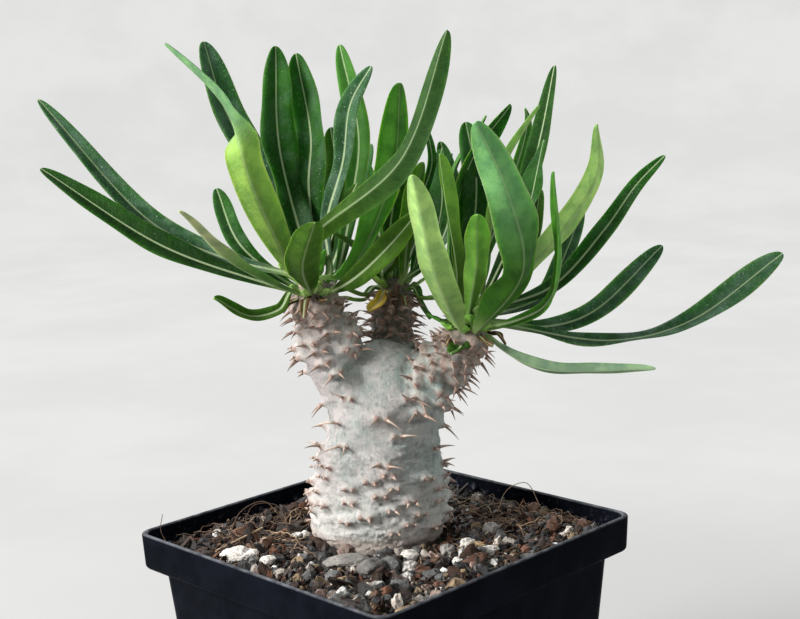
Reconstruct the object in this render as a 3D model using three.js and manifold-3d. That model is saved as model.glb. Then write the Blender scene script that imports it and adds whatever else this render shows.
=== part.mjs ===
// A young Pachypodium gracilius, about 20 cm tall, in a square 9 cm nursery pot.
// Millimetres, +Z up. The origin is the middle of the pot's underside, and the pot's sides
// face along X and Y. The plant is described in its own frame, which stands on the middle
// of the pot's mouth and is turned about the vertical: its X runs along the row of arms.
import * as THREE from "three";
import { mergeVertices } from "three/addons/utils/BufferGeometryUtils.js";
import Module from "manifold-3d";

const wasm = await Module();
wasm.setup();

// The pot: half widths are from the middle to a flat side
const POT = {
  height: 80,
  rimHalf: 45,
  rimCorner: 3.6,
  bandHeight: 9.5,
  bandHalf: 44.7,
  bandRound: 1.4,
  bodyHalf: 41.5,
  bodyCorner: 5.7,
  taper: 0.08,
  wall: 1.2,
  lipRound: 0.6,
  shoulder: 0.6,
  floor: 1.8,
  foot: 0.8,
  holes: 8,
  holeRadius: 3.4,
  sideHoleReach: 24,
  cornerHoleReach: 27.6,
};

// What fills the pot: drop is how far its surface lies below the rim, and the rings are the
// shares of its half width at which the surface rises and falls
const SOIL = {
  drop: 4.5,
  swell: 0.7,
  rings: [0.975, 0.82, 0.64, 0.46, 0.28],
  ringCorner: 3,
  pebbles: 26,
  pebbleSmall: 0.9,
  pebbleLarge: 2.2,
};

// Separate pieces keep this far apart where they meet
const CLEARANCE = 0.3;
const PLANT_TURN = THREE.MathUtils.degToRad(46.4);

// Stones that lie loose on the soil: middle in the plant's frame, then size across, deep, high
const STONES = [
  { name: "stone_flat", at: [-9.5, -19], size: [11, 7.5, 3.4], turn: 8, color: 0x8d8c86 },
  { name: "stone_dark", at: [-3.5, -26], size: [6.4, 5.2, 4.2], turn: 40, color: 0x4b4a48 },
  { name: "pumice_lump", at: [-36, -12.5], size: [9.6, 6, 4.6], turn: -12, color: 0xc9c2b4 },
];
const STONE_RISE = 0.22;

// Limbs of the stem: the trunk with its root, then its three arms. Each section is its middle
// [x, y, z] and its radius, in the plant's frame. The skin has stations rings of so many sides.
// Tubercles stand between the shares from and to of the length, with spines of the given range.
const LIMBS = {
  trunk: {
    sides: 20,
    stations: 13,
    tubercles: 40,
    from: 0.36,
    to: 0.96,
    spine: [1.6, 4.2],
    sections: [
      [-0.8, 4, -18, 7.5],
      [-1.2, 4, -12, 12.5],
      [-1.6, 4, -6, 15.6],
      [-1.7, 4, 0, 17.4],
      [-1, 4, 6, 17],
      [-0.6, 4.2, 12, 16.5],
      [0, 4.6, 18, 15.2],
      [0.4, 5, 25, 14],
      [1.2, 5.6, 31, 13.4],
      [2, 6, 36, 10.5],
    ],
  },
  left_arm: {
    sides: 12,
    stations: 9,
    tubercles: 17,
    from: 0.3,
    to: 0.9,
    spine: [3, 4.6],
    sections: [
      [-4, 5, 24, 10],
      [-8.5, 4.6, 35, 9.4],
      [-11.4, 4, 43.9, 7.7],
      [-12.8, 3.4, 49, 6.9],
      [-14, 2.6, 55, 5.2],
      [-15.4, 1.6, 60, 4.2],
    ],
  },
  middle_arm: {
    sides: 12,
    stations: 8,
    tubercles: 14,
    from: 0.34,
    to: 0.86,
    spine: [3, 4.6],
    sections: [
      [3, 8, 27, 9],
      [4, 12, 36, 7.4],
      [3.9, 14, 43, 5.4],
      [4.2, 15, 50, 4.8],
      [5.4, 16.4, 57, 3.9],
    ],
  },
  right_arm: {
    sides: 12,
    stations: 8,
    tubercles: 17,
    from: 0.3,
    to: 0.93,
    spine: [3, 4.6],
    sections: [
      [5, 4.4, 25, 9.6],
      [10, 2.2, 33, 8],
      [15, -0.4, 39.5, 6],
      [20.4, -3.2, 45, 4.5],
      [23.4, -5.4, 50.4, 4],
    ],
  },
};
const ROOT_SHARE = 0.45;
const BARK_BUMP = 0.03;

// A tubercle's half sizes at its foot and top, its height, and its spines' angles in degrees
const TUBERCLE = { across: 1.7, high: 1.3, height: 1.2, sunk: 1, top: 0.7, flat: 0.5, upturn: 0.3 };
const SPINE = { spread: 36, lift: 14 };
const GOLDEN_ANGLE = Math.PI * (3 - Math.sqrt(5));

// The dry remains of last year's flower stalk
const DRY_STALK = { foot: [5.2, 11.6, 48], tip: [5.8, 9.8, 60], radius: 0.9, tipShare: 0.6 };

// Faces thinner than this are smoothed away where solids were joined
const SLIVER = 0.02;

// The blade of every leaf: a narrow tongue, folded a little along its rib. foot and tip are its
// least widths, edge and rib half its thickness there, and widest where along it that is.
const BLADE = {
  stations: 10,
  lead: 1.6,
  foot: 1.7,
  tip: 0.9,
  edge: 0.32,
  rib: 0.55,
  fold: 14,
  widest: 0.62,
  wave: 0.06,
  wavesPerLength: 9,
  twistSpan: [0.35, 0.8],
};
const GREEN = 0x33552b;
const YELLOW = 0xc9b04a;

// Leaves by rosette. seat is where the foot stands on the tip of the arm, as [heading, rise] in
// degrees; rib is what the midrib passes after that, in millimetres from the middle of the tip.
// roll turns the whole blade about its rib, and twist adds to that past its middle.
const ROSETTES = {
  left: {
    arm: "left_arm",
    leaves: [
      { seat: [174, 8], width: 6.8, roll: -45, rib: [[-15, 0, 4], [-37, 2, 13], [-67, 9, 33]] },
      { seat: [158, 40], width: 6.6, roll: -35, rib: [[-22, 4, 9], [-40, 9, 18], [-68, 17, 50]] },
      { seat: [-120, 8], width: 5.8, rib: [[-17, -16, 10], [-27, -34, 25]] },
      { seat: [138, 8], width: 5, roll: -40, rib: [[-18, 10, 11], [-25, 24, 25]] },
      { seat: [122, 42], width: 9, rib: [[-12, 10, 27], [-22, 18, 45], [-26, 24, 63]] },
      {
        seat: [-140, 42],
        width: 8.6,
        twist: -80,
        rib: [[-8, -16, 15], [-14, -28, 32], [-17, -27, 46], [-31, -10, 62]],
      },
      { seat: [110, 72], width: 8, rib: [[-7, 9, 36], [-7, 16, 61]] },
      { seat: [72, 46], width: 8.2, rib: [[0, 8, 26], [1, 12, 38], [-2, 18, 59]] },
      { seat: [20, 42], width: 5.4, roll: 40, rib: [[4, 2, 16], [9, 2, 32], [13, 3, 46], [17, 4, 55]] },
      { seat: [36, 12], width: 6.4, roll: 20, rib: [[11, 20, 23], [13, 25, 37], [9, 30, 61]] },
      { seat: [-64, 8], width: 6.2, roll: 115, rib: [[0, -14, 13], [23, -38, 35], [34, -30, 62]] },
      { seat: [-50, 44], width: 7, roll: -10, rib: [[8, -8, 5], [22, -20, 30], [23, -24, 51]] },
      { seat: [-34, 8], width: 5.6, roll: 110, rib: [[12, -13, 6], [20, -19, 14], [26, -22, 21]] },
      { seat: [-152, 8], width: 4.4, roll: -30, rib: [[-8, -5, -3], [-15, -8, -4], [-23, -14, 2]] },
      { seat: [-92, 12], width: 7.2, rib: [[-1, -24, 10], [3, -42, 22]] },
      { seat: [102, 8], width: 6.2, rib: [[-4, 28, 12], [-8, 52, 30]] },
      { seat: [66, 8], width: 5.8, rib: [[8, 22, 12], [16, 44, 34]] },
    ],
  },
  middle: {
    arm: "middle_arm",
    leaves: [
      { seat: [-60, 44], width: 5.6, rib: [[3, -7, 12], [6, -10, 27], [8, -10, 34]] },
      { seat: [-8, 44], width: 7, roll: 30, rib: [[8, 0, 7], [13, 2, 21], [13, 4, 33]] },
      { seat: [62, 62], width: 3, roll: 60, rib: [[5, 6, 18], [11, 10, 32], [10, 12, 42]] },
      { seat: [34, 30], width: 5.6, rib: [[11, 14, 25], [17, 20, 34]] },
      { seat: [-150, 56], width: 3.2, rib: [[0, -2, 8], [2, -4, 15]] },
      { seat: [-146, 30], width: 3.4, rib: [[-6, -4, 5], [-9, -10, 9]] },
      { seat: [-176, 14], width: 3.4, rib: [[-8, -3, 0], [-14, -7, 3]] },
      { seat: [152, 12], width: 3.2, rib: [[-8, 2, -2], [-15, 1, -1]] },
      { seat: [-36, 12], width: 3.6, rib: [[6, -4, -1], [11, -8, -1]] },
      { seat: [14, 12], width: 3.6, rib: [[6, 3, -3], [9, 8, -9]] },
      { seat: [-122, 10], width: 4, color: YELLOW, rib: [[-4, -7, -1], [-7, -11, -3]] },
      { seat: [170, 44], width: 5, roll: 30, rib: [[-10, -9, 13], [-15, -17, 18]] },
      { seat: [72, 8], width: 6, rib: [[14, 26, 10], [20, 46, 26]] },
      { seat: [116, 10], width: 6.2, rib: [[-4, 28, 16], [-10, 44, 38]] },
    ],
  },
  right: {
    arm: "right_arm",
    leaves: [
      {
        seat: [8, 8],
        width: 6.4,
        roll: 20,
        twist: 20,
        rib: [[13, 2, -1], [36, 7, -6], [57, 13, -3], [82, 17, 13]],
      },
      { seat: [42, 8], width: 7, roll: 55, rib: [[19, 9, -2], [32, 15, 0], [53, 27, 15]] },
      { seat: [24, 40], width: 4.8, roll: 45, rib: [[21, 9, 9], [35, 17, 22], [53, 23, 39]] },
      { seat: [-28, 42], width: 7.4, roll: -40, rib: [[10, -7, 11], [24, -13, 26], [32, -10, 38], [32, -7, 48]] },
      { seat: [-52, 8], width: 5, roll: 60, rib: [[16, -11, 6], [19, -21, 17], [17, -29, 40]] },
      { seat: [-22, 12], width: 3, roll: -10, rib: [[7, -6, -4], [15, -16, -7], [39, -31, -5]] },
      { seat: [-84, 8], width: 10, rib: [[6, -23, 22], [2, -33, 37], [-3, -39, 50]] },
      { seat: [-118, 8], width: 7.4, rib: [[-7, -19, 18], [-13, -35, 41]] },
      { seat: [-100, 46], width: 6, rib: [[1, -10, 18], [1, -17, 30]] },
      { seat: [66, 34], width: 6.6, roll: -10, rib: [[13, 15, 22], [21, 25, 44], [26, 31, 63]] },
      { seat: [104, 34], width: 4, roll: 40, rib: [[12, 27, 29], [19, 36, 48], [19, 39, 52]] },
      { seat: [-62, 50], width: 4, roll: 60, rib: [[5, -7, 27], [8, -9, 40], [17, -7, 54]] },
      { seat: [16, 74], width: 7, rib: [[11, 2, 14], [15, 5, 26], [20, 9, 45]] },
      { seat: [76, 12], width: 5, roll: 30, rib: [[19, 13, 5], [27, 21, 16], [32, 27, 26]] },
      { seat: [146, 62], width: 7.4, rib: [[-3, 7, 25], [2, 9, 41], [12, 9, 54]] },
      { seat: [160, 24], width: 4, roll: 40, rib: [[-4, 13, 21], [-2, 19, 38], [7, 21, 51]] },
      { seat: [134, 14], width: 6, rib: [[-1, 24, 22], [-4, 40, 44]] },
      { seat: [106, 12], width: 6, rib: [[4, 30, 8], [8, 54, 22]] },
    ],
  },
};

// Repeatable draws between 0 and 1
function dice(seed) {
  let state = seed;
  return () => {
    state = (state + 0x6d2b79f5) | 0;
    let mixed = Math.imul(state ^ (state >>> 15), 1 | state);
    mixed = (mixed + Math.imul(mixed ^ (mixed >>> 7), 61 | mixed)) ^ mixed;
    return ((mixed ^ (mixed >>> 14)) >>> 0) / 4294967296;
  };
}

const between = (low, high, share) => low + (high - low) * share;
const radians = THREE.MathUtils.degToRad;
const finish = (color, roughness, metalness = 0) =>
  new THREE.MeshStandardMaterial({ color, roughness, metalness, side: THREE.FrontSide });

// A unit vector at a heading from X and a rise from level, both in degrees
function direction(heading, rise) {
  const level = Math.cos(radians(rise));
  return new THREE.Vector3(
    level * Math.cos(radians(heading)),
    level * Math.sin(radians(heading)),
    Math.sin(radians(rise)),
  );
}

// Joins rings of equal length, counterclockwise about the way they follow each other, into one
// closed skin. Each end is closed by a fan about its own middle, or about its first point
// where the ring isn't convex. turned lists the strips whose diagonals run the other way.
function loft(rings, { turned = [], fanAtFirst = false } = {}) {
  const count = rings[0].length;
  const points = rings.flat();
  const triangles = [];
  for (let r = 0; r + 1 < rings.length; r++) {
    for (let k = 0; k < count; k++) {
      const next = (k + 1) % count;
      const [a, b] = [r * count + k, r * count + next];
      const [c, d] = [a + count, b + count];
      if (turned.includes(k)) triangles.push([a, b, c], [b, d, c]);
      else triangles.push([a, b, d], [a, d, c]);
    }
  }
  const last = (rings.length - 1) * count;
  if (fanAtFirst) {
    for (let k = 1; k + 1 < count; k++) triangles.push([0, k + 1, k], [last, last + k, last + k + 1]);
  } else {
    const middle = (ring) =>
      ring.reduce((sum, point) => sum.add(point), new THREE.Vector3()).divideScalar(count);
    const [start, end] = [points.length, points.length + 1];
    points.push(middle(rings[0]), middle(rings.at(-1)));
    for (let k = 0; k < count; k++) {
      const next = (k + 1) % count;
      triangles.push([start, next, k], [end, last + k, last + next]);
    }
  }
  const geometry = new THREE.BufferGeometry().setFromPoints(points);
  geometry.setIndex(triangles.flat());
  return geometry;
}

// Solids for joining and cutting, and the way back to a geometry
function solid(geometry) {
  const bare = geometry.index ? geometry.toNonIndexed() : geometry.clone();
  bare.deleteAttribute("normal");
  bare.deleteAttribute("uv");
  const merged = mergeVertices(bare, 1e-4);
  return new wasm.Manifold(
    new wasm.Mesh({
      numProp: 3,
      vertProperties: merged.getAttribute("position").array,
      triVerts: new Uint32Array(merged.index.array),
    }),
  );
}

function geometryOf(body) {
  const mesh = body.getMesh();
  const geometry = new THREE.BufferGeometry();
  geometry.setAttribute("position", new THREE.BufferAttribute(mesh.vertProperties, mesh.numProp));
  geometry.setIndex(new THREE.BufferAttribute(mesh.triVerts, 1));
  return geometry;
}

function piece(name, geometry, material) {
  const flat = geometry.index ? geometry.toNonIndexed() : geometry;
  flat.computeVertexNormals();
  const mesh = new THREE.Mesh(flat, material);
  mesh.name = name;
  return mesh;
}

// A level square with round corners, as a counterclockwise ring of points
function roundedSquare(half, corner, z, arcSteps = 4, sideSteps = 1) {
  const ring = [];
  const reach = half - corner;
  for (let side = 0; side < 4; side++) {
    const start = side * (Math.PI / 2) - Math.PI / 2;
    const centre = new THREE.Vector2(reach, -reach).rotateAround(new THREE.Vector2(), start + Math.PI / 2);
    for (let step = 0; step <= arcSteps; step++) {
      const angle = start + (Math.PI / 2) * (step / arcSteps);
      ring.push(new THREE.Vector3(centre.x + corner * Math.cos(angle), centre.y + corner * Math.sin(angle), z));
    }
    const along = new THREE.Vector2(0, 2 * reach).rotateAround(new THREE.Vector2(), start + Math.PI / 2);
    const bend = ring.at(-1);
    for (let step = 1; step < sideSteps; step++) {
      const share = step / sideSteps;
      ring.push(new THREE.Vector3(bend.x + along.x * share, bend.y + along.y * share, z));
    }
  }
  return ring;
}

// Half width of the pot's body, outside, at a height below the band
const bodyHalf = (z) => POT.bodyHalf - POT.taper * (POT.height - POT.bandHeight - z);

function potSolid() {
  const { height, rimHalf, rimCorner, bandHalf, bandRound, bodyCorner, wall, floor, foot, shoulder } = POT;
  const lip = POT.lipRound;
  const bevel = 0.3;
  const bandFoot = height - POT.bandHeight;
  const ledge = bandFoot + wall;
  const outline = [
    [bodyHalf(0) - foot, bodyCorner, 0],
    [bodyHalf(0), bodyCorner, foot],
    [bodyHalf(bandFoot) - 0.1, bodyCorner, bandFoot - 2 * shoulder],
    [bodyHalf(bandFoot) + shoulder, bodyCorner, bandFoot],
    [bandHalf - bandRound, rimCorner, bandFoot],
    [bandHalf - bevel * bandRound, rimCorner, bandFoot + bevel * bandRound],
    [bandHalf, rimCorner, bandFoot + bandRound],
    [rimHalf, rimCorner, height - lip],
    [rimHalf - bevel * lip, rimCorner, height - bevel * lip],
    [rimHalf - lip, rimCorner, height],
    [rimHalf - wall + bevel, rimCorner, height],
    [rimHalf - wall, rimCorner, height - bevel],
    [bandHalf - wall, rimCorner, ledge + shoulder],
    [bodyHalf(ledge) - wall + shoulder, bodyCorner, ledge],
    [bodyHalf(ledge) - wall - 0.1, bodyCorner, ledge - 2 * shoulder],
    [bodyHalf(floor) - wall, bodyCorner, floor],
  ];
  let body = solid(loft(outline.map(([half, corner, z]) => roundedSquare(half, corner, z))));
  const hole = new THREE.CylinderGeometry(POT.holeRadius, POT.holeRadius, 4 * floor, 10);
  hole.rotateX(Math.PI / 2);
  for (let k = 0; k < POT.holes; k++) {
    const heading = k * ((2 * Math.PI) / POT.holes);
    const reach = k % 2 ? POT.cornerHoleReach : POT.sideHoleReach;
    const cut = hole.clone().translate(reach * Math.cos(heading), reach * Math.sin(heading), 0);
    body = body.subtract(solid(cut));
  }
  return body;
}

// The largest body of a solid: what a cut leaves loose beside it is dropped
function largest(body) {
  return body.decompose().reduce((kept, other) => (other.volume() > kept.volume() ? other : kept));
}

// Low swells of the soil's surface, which fade out at the pot's wall
function swell(x, y, half) {
  const fade = 1 - Math.max(Math.abs(x), Math.abs(y)) / half;
  const waves = Math.sin(0.23 * x + 1.1) * Math.cos(0.19 * y) + 0.6 * Math.sin(0.5 * x + 0.41 * y);
  return SOIL.swell * waves * Math.min(1, 4 * fade);
}

// A pebble about the origin, turned about the vertical
function pebbleGeometry(size, turn, detail) {
  return new THREE.IcosahedronGeometry(0.5, detail).scale(...size).rotateZ(turn);
}

function soilBlock() {
  const ledge = POT.height - POT.bandHeight + POT.wall;
  const top = POT.height - SOIL.drop;
  const inner = (z) => bodyHalf(z) - POT.wall - CLEARANCE;
  const topHalf = POT.bandHalf - POT.wall - CLEARANCE;
  const floor = POT.floor + CLEARANCE;
  const edge = 2 * POT.shoulder;
  const walls = [
    [inner(floor), POT.bodyCorner, floor],
    [inner(ledge) - 0.1, POT.bodyCorner, ledge - edge + CLEARANCE],
    [inner(ledge) + CLEARANCE, POT.bodyCorner, ledge + CLEARANCE],
    [topHalf - CLEARANCE, POT.rimCorner, ledge + edge],
    [topHalf, POT.rimCorner, top - edge],
  ];
  const ringOf = (half, corner, z) => roundedSquare(half, corner, z, 2, 5);
  const rings = walls.map((row) => ringOf(...row));
  for (const share of SOIL.rings) {
    const ring = ringOf(topHalf * share, SOIL.ringCorner * (1 + 2 * (1 - share)), top);
    ring.forEach((point) => (point.z += swell(point.x, point.y, topHalf)));
    rings.push(ring);
  }
  return solid(loft(rings));
}

// A limb: its sections, the frame along it, and any point of its bark
function limbOf(spec) {
  const middles = new THREE.CatmullRomCurve3(spec.sections.map(([x, y, z]) => new THREE.Vector3(x, y, z)));
  const girths = new THREE.SplineCurve(spec.sections.map((row, k) => new THREE.Vector2(k, row[3])));
  const frame = (t) => {
    const along = middles.getTangent(t);
    const across = new THREE.Vector3(0, 1, 0).cross(along).normalize();
    return { middle: middles.getPoint(t), along, across, back: along.clone().cross(across) };
  };
  const bark = (t, angle, extra = 0) => {
    const { middle, along, across, back } = frame(t);
    const bare = THREE.MathUtils.smoothstep(middle.z, 0, 8);
    const bump = Math.sin(3 * angle + 0.31 * middle.z) + 0.7 * Math.sin(5 * angle - 0.52 * middle.z);
    const radius = girths.getPoint(t).y * (1 + BARK_BUMP * bare * bump) + extra;
    const outward = across.multiplyScalar(Math.cos(angle)).addScaledVector(back, Math.sin(angle));
    return { point: middle.addScaledVector(outward, radius), outward, along };
  };
  return { spec, frame, girths, bark };
}

function limbRings({ spec, frame, girths, bark }, extra = 0) {
  const turn = (2 * Math.PI) / spec.sides;
  const ringAt = (t, shift, shrink) => {
    const { middle, along, across, back } = frame(t);
    middle.addScaledVector(along, shift);
    return Array.from({ length: spec.sides }, (_, k) =>
      middle
        .clone()
        .addScaledVector(across, shrink * Math.cos(k * turn))
        .addScaledVector(back, shrink * Math.sin(k * turn)),
    );
  };
  const rings = [];
  const ends = [girths.getPoint(0).y + extra, girths.getPoint(1).y + extra];
  for (const rise of [64, 32]) {
    rings.push(ringAt(0, -ends[0] * Math.sin(radians(rise)), ends[0] * Math.cos(radians(rise))));
  }
  for (let k = 0; k < spec.stations; k++) {
    const t = k / (spec.stations - 1);
    rings.push(Array.from({ length: spec.sides }, (_, side) => bark(t, side * turn, extra).point));
  }
  for (const rise of [32, 64]) {
    rings.push(ringAt(1, ends[1] * Math.sin(radians(rise)), ends[1] * Math.cos(radians(rise))));
  }
  return rings;
}

// A tubercle that stands on the bark along +Y, with two slim spines that part along X
function tubercleGeometry([left, right]) {
  const { across, high, height, sunk, top, flat, upturn } = TUBERCLE;
  const [sine, cosine] = [Math.sin(radians(SPINE.spread)), Math.cos(radians(SPINE.spread))];
  const lift = (length) => length * Math.tan(radians(SPINE.lift));
  const foot = [[-across, -high], [across, -high], [across, high], [-across, high]];
  const crown = [[-top, -top], [top, -top], [top, top], [-top, top], [0, -top], [0, top]];
  const points = [
    ...foot.map(([x, z]) => new THREE.Vector3(x, -sunk, z)),
    ...crown.map(([x, z]) => new THREE.Vector3(x, height, flat * z + upturn)),
    new THREE.Vector3(-left * sine, height + left * cosine, lift(left)),
    new THREE.Vector3(right * sine, height + right * cosine, lift(right)),
  ];
  const [backMiddle, frontMiddle, leftTip, rightTip] = [8, 9, 10, 11];
  const lump = [
    [3, 2, frontMiddle], [2, 6, frontMiddle], [frontMiddle, 7, 3],
    [1, 0, backMiddle], [0, 4, backMiddle], [backMiddle, 5, 1],
    [2, 1, 5], [2, 5, 6], [0, 3, 7], [0, 7, 4], [0, 1, 2], [0, 2, 3],
  ];
  const spines = [
    [7, frontMiddle, leftTip], [frontMiddle, backMiddle, leftTip], [backMiddle, 4, leftTip], [4, 7, leftTip],
    [frontMiddle, 6, rightTip], [6, 5, rightTip], [5, backMiddle, rightTip], [backMiddle, frontMiddle, rightTip],
  ];
  const geometry = new THREE.BufferGeometry().setFromPoints(points);
  geometry.setIndex([...lump, ...spines].flat());
  return geometry;
}

// Tubercles in a spiral up a limb, each with two spines that part to left and right
function armour(limb, random) {
  const { tubercles, from, to, spine } = limb.spec;
  const solids = [];
  for (let k = 0; k < tubercles; k++) {
    const share = (k + 0.5) / tubercles;
    const { point, outward, along } = limb.bark(between(from, to, share), k * GOLDEN_ANGLE);
    const lengths = [0, 1].map(() => between(...spine, Math.min(1, 0.6 * share + 0.5 * random())));
    const sideways = outward.clone().cross(along).normalize();
    const upward = sideways.clone().cross(outward);
    const stand = new THREE.Matrix4().makeBasis(sideways, outward, upward).setPosition(point);
    solids.push(solid(tubercleGeometry(lengths).applyMatrix4(stand)));
  }
  return solids;
}

function dryStalk() {
  const { radius, tipShare } = DRY_STALK;
  const foot = new THREE.Vector3(...DRY_STALK.foot);
  const run = new THREE.Vector3(...DRY_STALK.tip).sub(foot);
  const length = run.length();
  const lean = new THREE.Quaternion().setFromUnitVectors(new THREE.Vector3(0, 1, 0), run.normalize());
  const stub = new THREE.CylinderGeometry(tipShare * radius, radius, length, 6);
  return solid(stub.translate(0, length / 2, 0).applyQuaternion(lean).translate(...foot));
}

const limbs = Object.fromEntries(Object.entries(LIMBS).map(([name, spec]) => [name, limbOf(spec)]));

function stemSolid() {
  const random = dice(11);
  const solids = Object.values(limbs).flatMap((limb) => [solid(loft(limbRings(limb))), ...armour(limb, random)]);
  return wasm.Manifold.union([...solids, dryStalk()]).simplify(SLIVER);
}

// The hole in the soil that the root stands in, in the pot's frame: the trunk's own rings up to
// above the soil, grown by a little more than the clearance
function rootHole(toPot) {
  const above = Math.ceil(limbs.trunk.spec.stations * ROOT_SHARE) + 2;
  const rings = limbRings(limbs.trunk, 1.3 * CLEARANCE).slice(0, above);
  return solid(loft(rings).applyMatrix4(toPot));
}

// The loose stones, each with the hollow that it lies in
function stoneParts(toPot) {
  return STONES.map(({ name, at, size, turn, color }) => {
    const spot = new THREE.Vector3(...at, 0).applyMatrix4(toPot);
    spot.z = POT.height - SOIL.drop + STONE_RISE * size[2];
    const shape = (grow) => {
      const grown = size.map((side) => side + grow);
      return pebbleGeometry(grown, radians(turn) + PLANT_TURN, 1).translate(...spot);
    };
    return { name, color, spot, reach: size[0] / 2, geometry: shape(0), hollow: solid(shape(3 * CLEARANCE)) };
  });
}

// Pebbles sunk in the soil's surface, clear of the stem, the wall and the loose stones
function pebbles(toPot, stones) {
  const random = dice(23);
  const apart = 1;
  const half = POT.bandHalf - POT.wall - CLEARANCE;
  const [stemX, stemY, , stemRadius] = LIMBS.trunk.sections[3];
  const stem = new THREE.Vector3(stemX, stemY, 0).applyMatrix4(toPot);
  const top = POT.height - SOIL.drop;
  const solids = [];
  while (solids.length < SOIL.pebbles) {
    const radius = between(SOIL.pebbleSmall, SOIL.pebbleLarge, random() ** 2);
    const reach = half - radius - apart;
    const spot = new THREE.Vector3(between(-reach, reach, random()), between(-reach, reach, random()), top);
    spot.z += swell(spot.x, spot.y, half) + 0.1 * radius;
    const size = [1, between(0.7, 1, random()), between(0.6, 0.9, random())].map((share) => 2 * radius * share);
    const nearStem = Math.hypot(spot.x - stem.x, spot.y - stem.y) < stemRadius + radius + apart;
    const nearStone = stones.some((stone) => stone.spot.distanceTo(spot) < stone.reach + radius + apart);
    if (nearStem || nearStone) continue;
    solids.push(solid(pebbleGeometry(size, Math.PI * random(), 0).translate(...spot)));
  }
  return solids;
}

// Width of a blade along its length, 0 at the foot and 1 at the tip
function bladeWidth(t, width) {
  const bulge = Math.sin(Math.PI * t ** (Math.log(0.5) / Math.log(BLADE.widest))) ** 0.75;
  return Math.max(width * bulge, between(BLADE.foot, BLADE.tip, t));
}

function leafGeometry({ seat, width, rib, roll = 0, twist = 0 }, middle, crown, phase) {
  const out = direction(...seat);
  const foot = middle.clone().addScaledVector(out, crown + CLEARANCE);
  const passes = rib.map((spot) => middle.clone().add(new THREE.Vector3(...spot)));
  const curve = new THREE.CatmullRomCurve3([foot, foot.clone().addScaledVector(out, BLADE.lead), ...passes]);
  let face = direction(seat[0] + 180, 90 - seat[1]);
  const rings = [];
  for (let k = 0; k < BLADE.stations; k++) {
    const t = k / (BLADE.stations - 1);
    const along = curve.getTangentAt(t);
    face = face.clone().addScaledVector(along, -face.dot(along)).normalize();
    const turn = roll + twist * THREE.MathUtils.smoothstep(t, ...BLADE.twistSpan);
    const up = face.clone().applyAxisAngle(along, radians(turn));
    const side = along.clone().cross(up);
    const half = bladeWidth(t, width) / 2;
    const wave = BLADE.wave * width * Math.sin(BLADE.wavesPerLength * t + phase) * Math.sin(Math.PI * t);
    const lift = Math.tan(radians(BLADE.fold)) * half;
    const at = curve.getPointAt(t);
    const spot = (across, high) => at.clone().addScaledVector(side, across).addScaledVector(up, high);
    rings.push([
      spot(0, BLADE.rib),
      spot(half, lift + wave + BLADE.edge),
      spot(half, lift + wave - BLADE.edge),
      spot(0, -BLADE.rib),
      spot(-half, lift - wave - BLADE.edge),
      spot(-half, lift - wave + BLADE.edge),
    ]);
  }
  return loft(rings, { turned: [2, 5], fanAtFirst: true });
}

function rosette(name, { arm, leaves }) {
  const group = new THREE.Group();
  const [x, y, z, crown] = LIMBS[arm].sections.at(-1);
  leaves.forEach((leaf, k) => {
    const geometry = leafGeometry(leaf, new THREE.Vector3(x, y, z), crown, 1.7 * k);
    const label = `leaf_${name}_${String(k + 1).padStart(2, "0")}`;
    group.add(piece(label, geometry, finish(leaf.color ?? GREEN, 0.5)));
  });
  return group;
}

const plant = new THREE.Group();
plant.position.z = POT.height;
plant.rotation.z = PLANT_TURN;
plant.updateMatrix();
plant.add(piece("stem", geometryOf(stemSolid()), finish(0x8c8489, 0.8)));
for (const [name, spec] of Object.entries(ROSETTES)) plant.add(rosette(name, spec));

const stones = stoneParts(plant.matrix);
const ground = wasm.Manifold.union([soilBlock(), ...pebbles(plant.matrix, stones)]);
const hollows = [rootHole(plant.matrix), ...stones.map((stone) => stone.hollow)];
const soil = largest(hollows.reduce((rest, hollow) => rest.subtract(hollow), ground)).simplify(SLIVER);

const group = new THREE.Group();
group.add(piece("pot", geometryOf(potSolid()), finish(0x191b20, 0.45)));
group.add(piece("soil", geometryOf(soil), finish(0x4a3b2e, 0.95)));
for (const { name, color, geometry } of stones) group.add(piece(name, geometry, finish(color, 0.85)));
group.add(plant);

export default group;
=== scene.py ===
# %% [markdown]
# # A swollen-stemmed succulent in its nursery pot
#
# The frame holds every solid at its real size: a square plastic pot, the soil, three loose stones,
# the stem and each leaf. This notebook gives them their looks. Fine meshes replace the faceted
# solids and keep their form, and node materials give each surface its colour, grain and gloss.
# Lengths are written in millimetres, as one would measure the real plant, and turned into metres
# at the last moment.

# %% The frame and the plant's own axes
import math
import random

import bmesh
import bpy
import numpy as np
from mathutils import Matrix, Vector, noise
from mathutils.bvhtree import BVHTree


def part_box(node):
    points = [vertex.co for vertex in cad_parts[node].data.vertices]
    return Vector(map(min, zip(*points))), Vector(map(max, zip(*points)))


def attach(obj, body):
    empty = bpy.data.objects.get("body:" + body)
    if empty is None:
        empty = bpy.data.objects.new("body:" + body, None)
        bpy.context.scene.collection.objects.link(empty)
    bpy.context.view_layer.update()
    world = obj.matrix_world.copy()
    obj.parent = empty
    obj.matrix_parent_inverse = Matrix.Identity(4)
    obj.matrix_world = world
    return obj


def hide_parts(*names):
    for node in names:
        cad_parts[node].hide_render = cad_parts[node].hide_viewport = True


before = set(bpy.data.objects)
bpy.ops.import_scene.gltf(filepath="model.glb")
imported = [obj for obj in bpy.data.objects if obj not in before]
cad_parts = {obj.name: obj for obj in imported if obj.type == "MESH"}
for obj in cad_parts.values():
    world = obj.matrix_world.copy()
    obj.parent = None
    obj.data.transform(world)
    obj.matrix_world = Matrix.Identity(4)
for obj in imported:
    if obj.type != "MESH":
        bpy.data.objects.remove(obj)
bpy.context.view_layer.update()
MM = 0.001
POT_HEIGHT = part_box("pot")[1].z / MM
PLANT_TURN = 46.4
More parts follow.
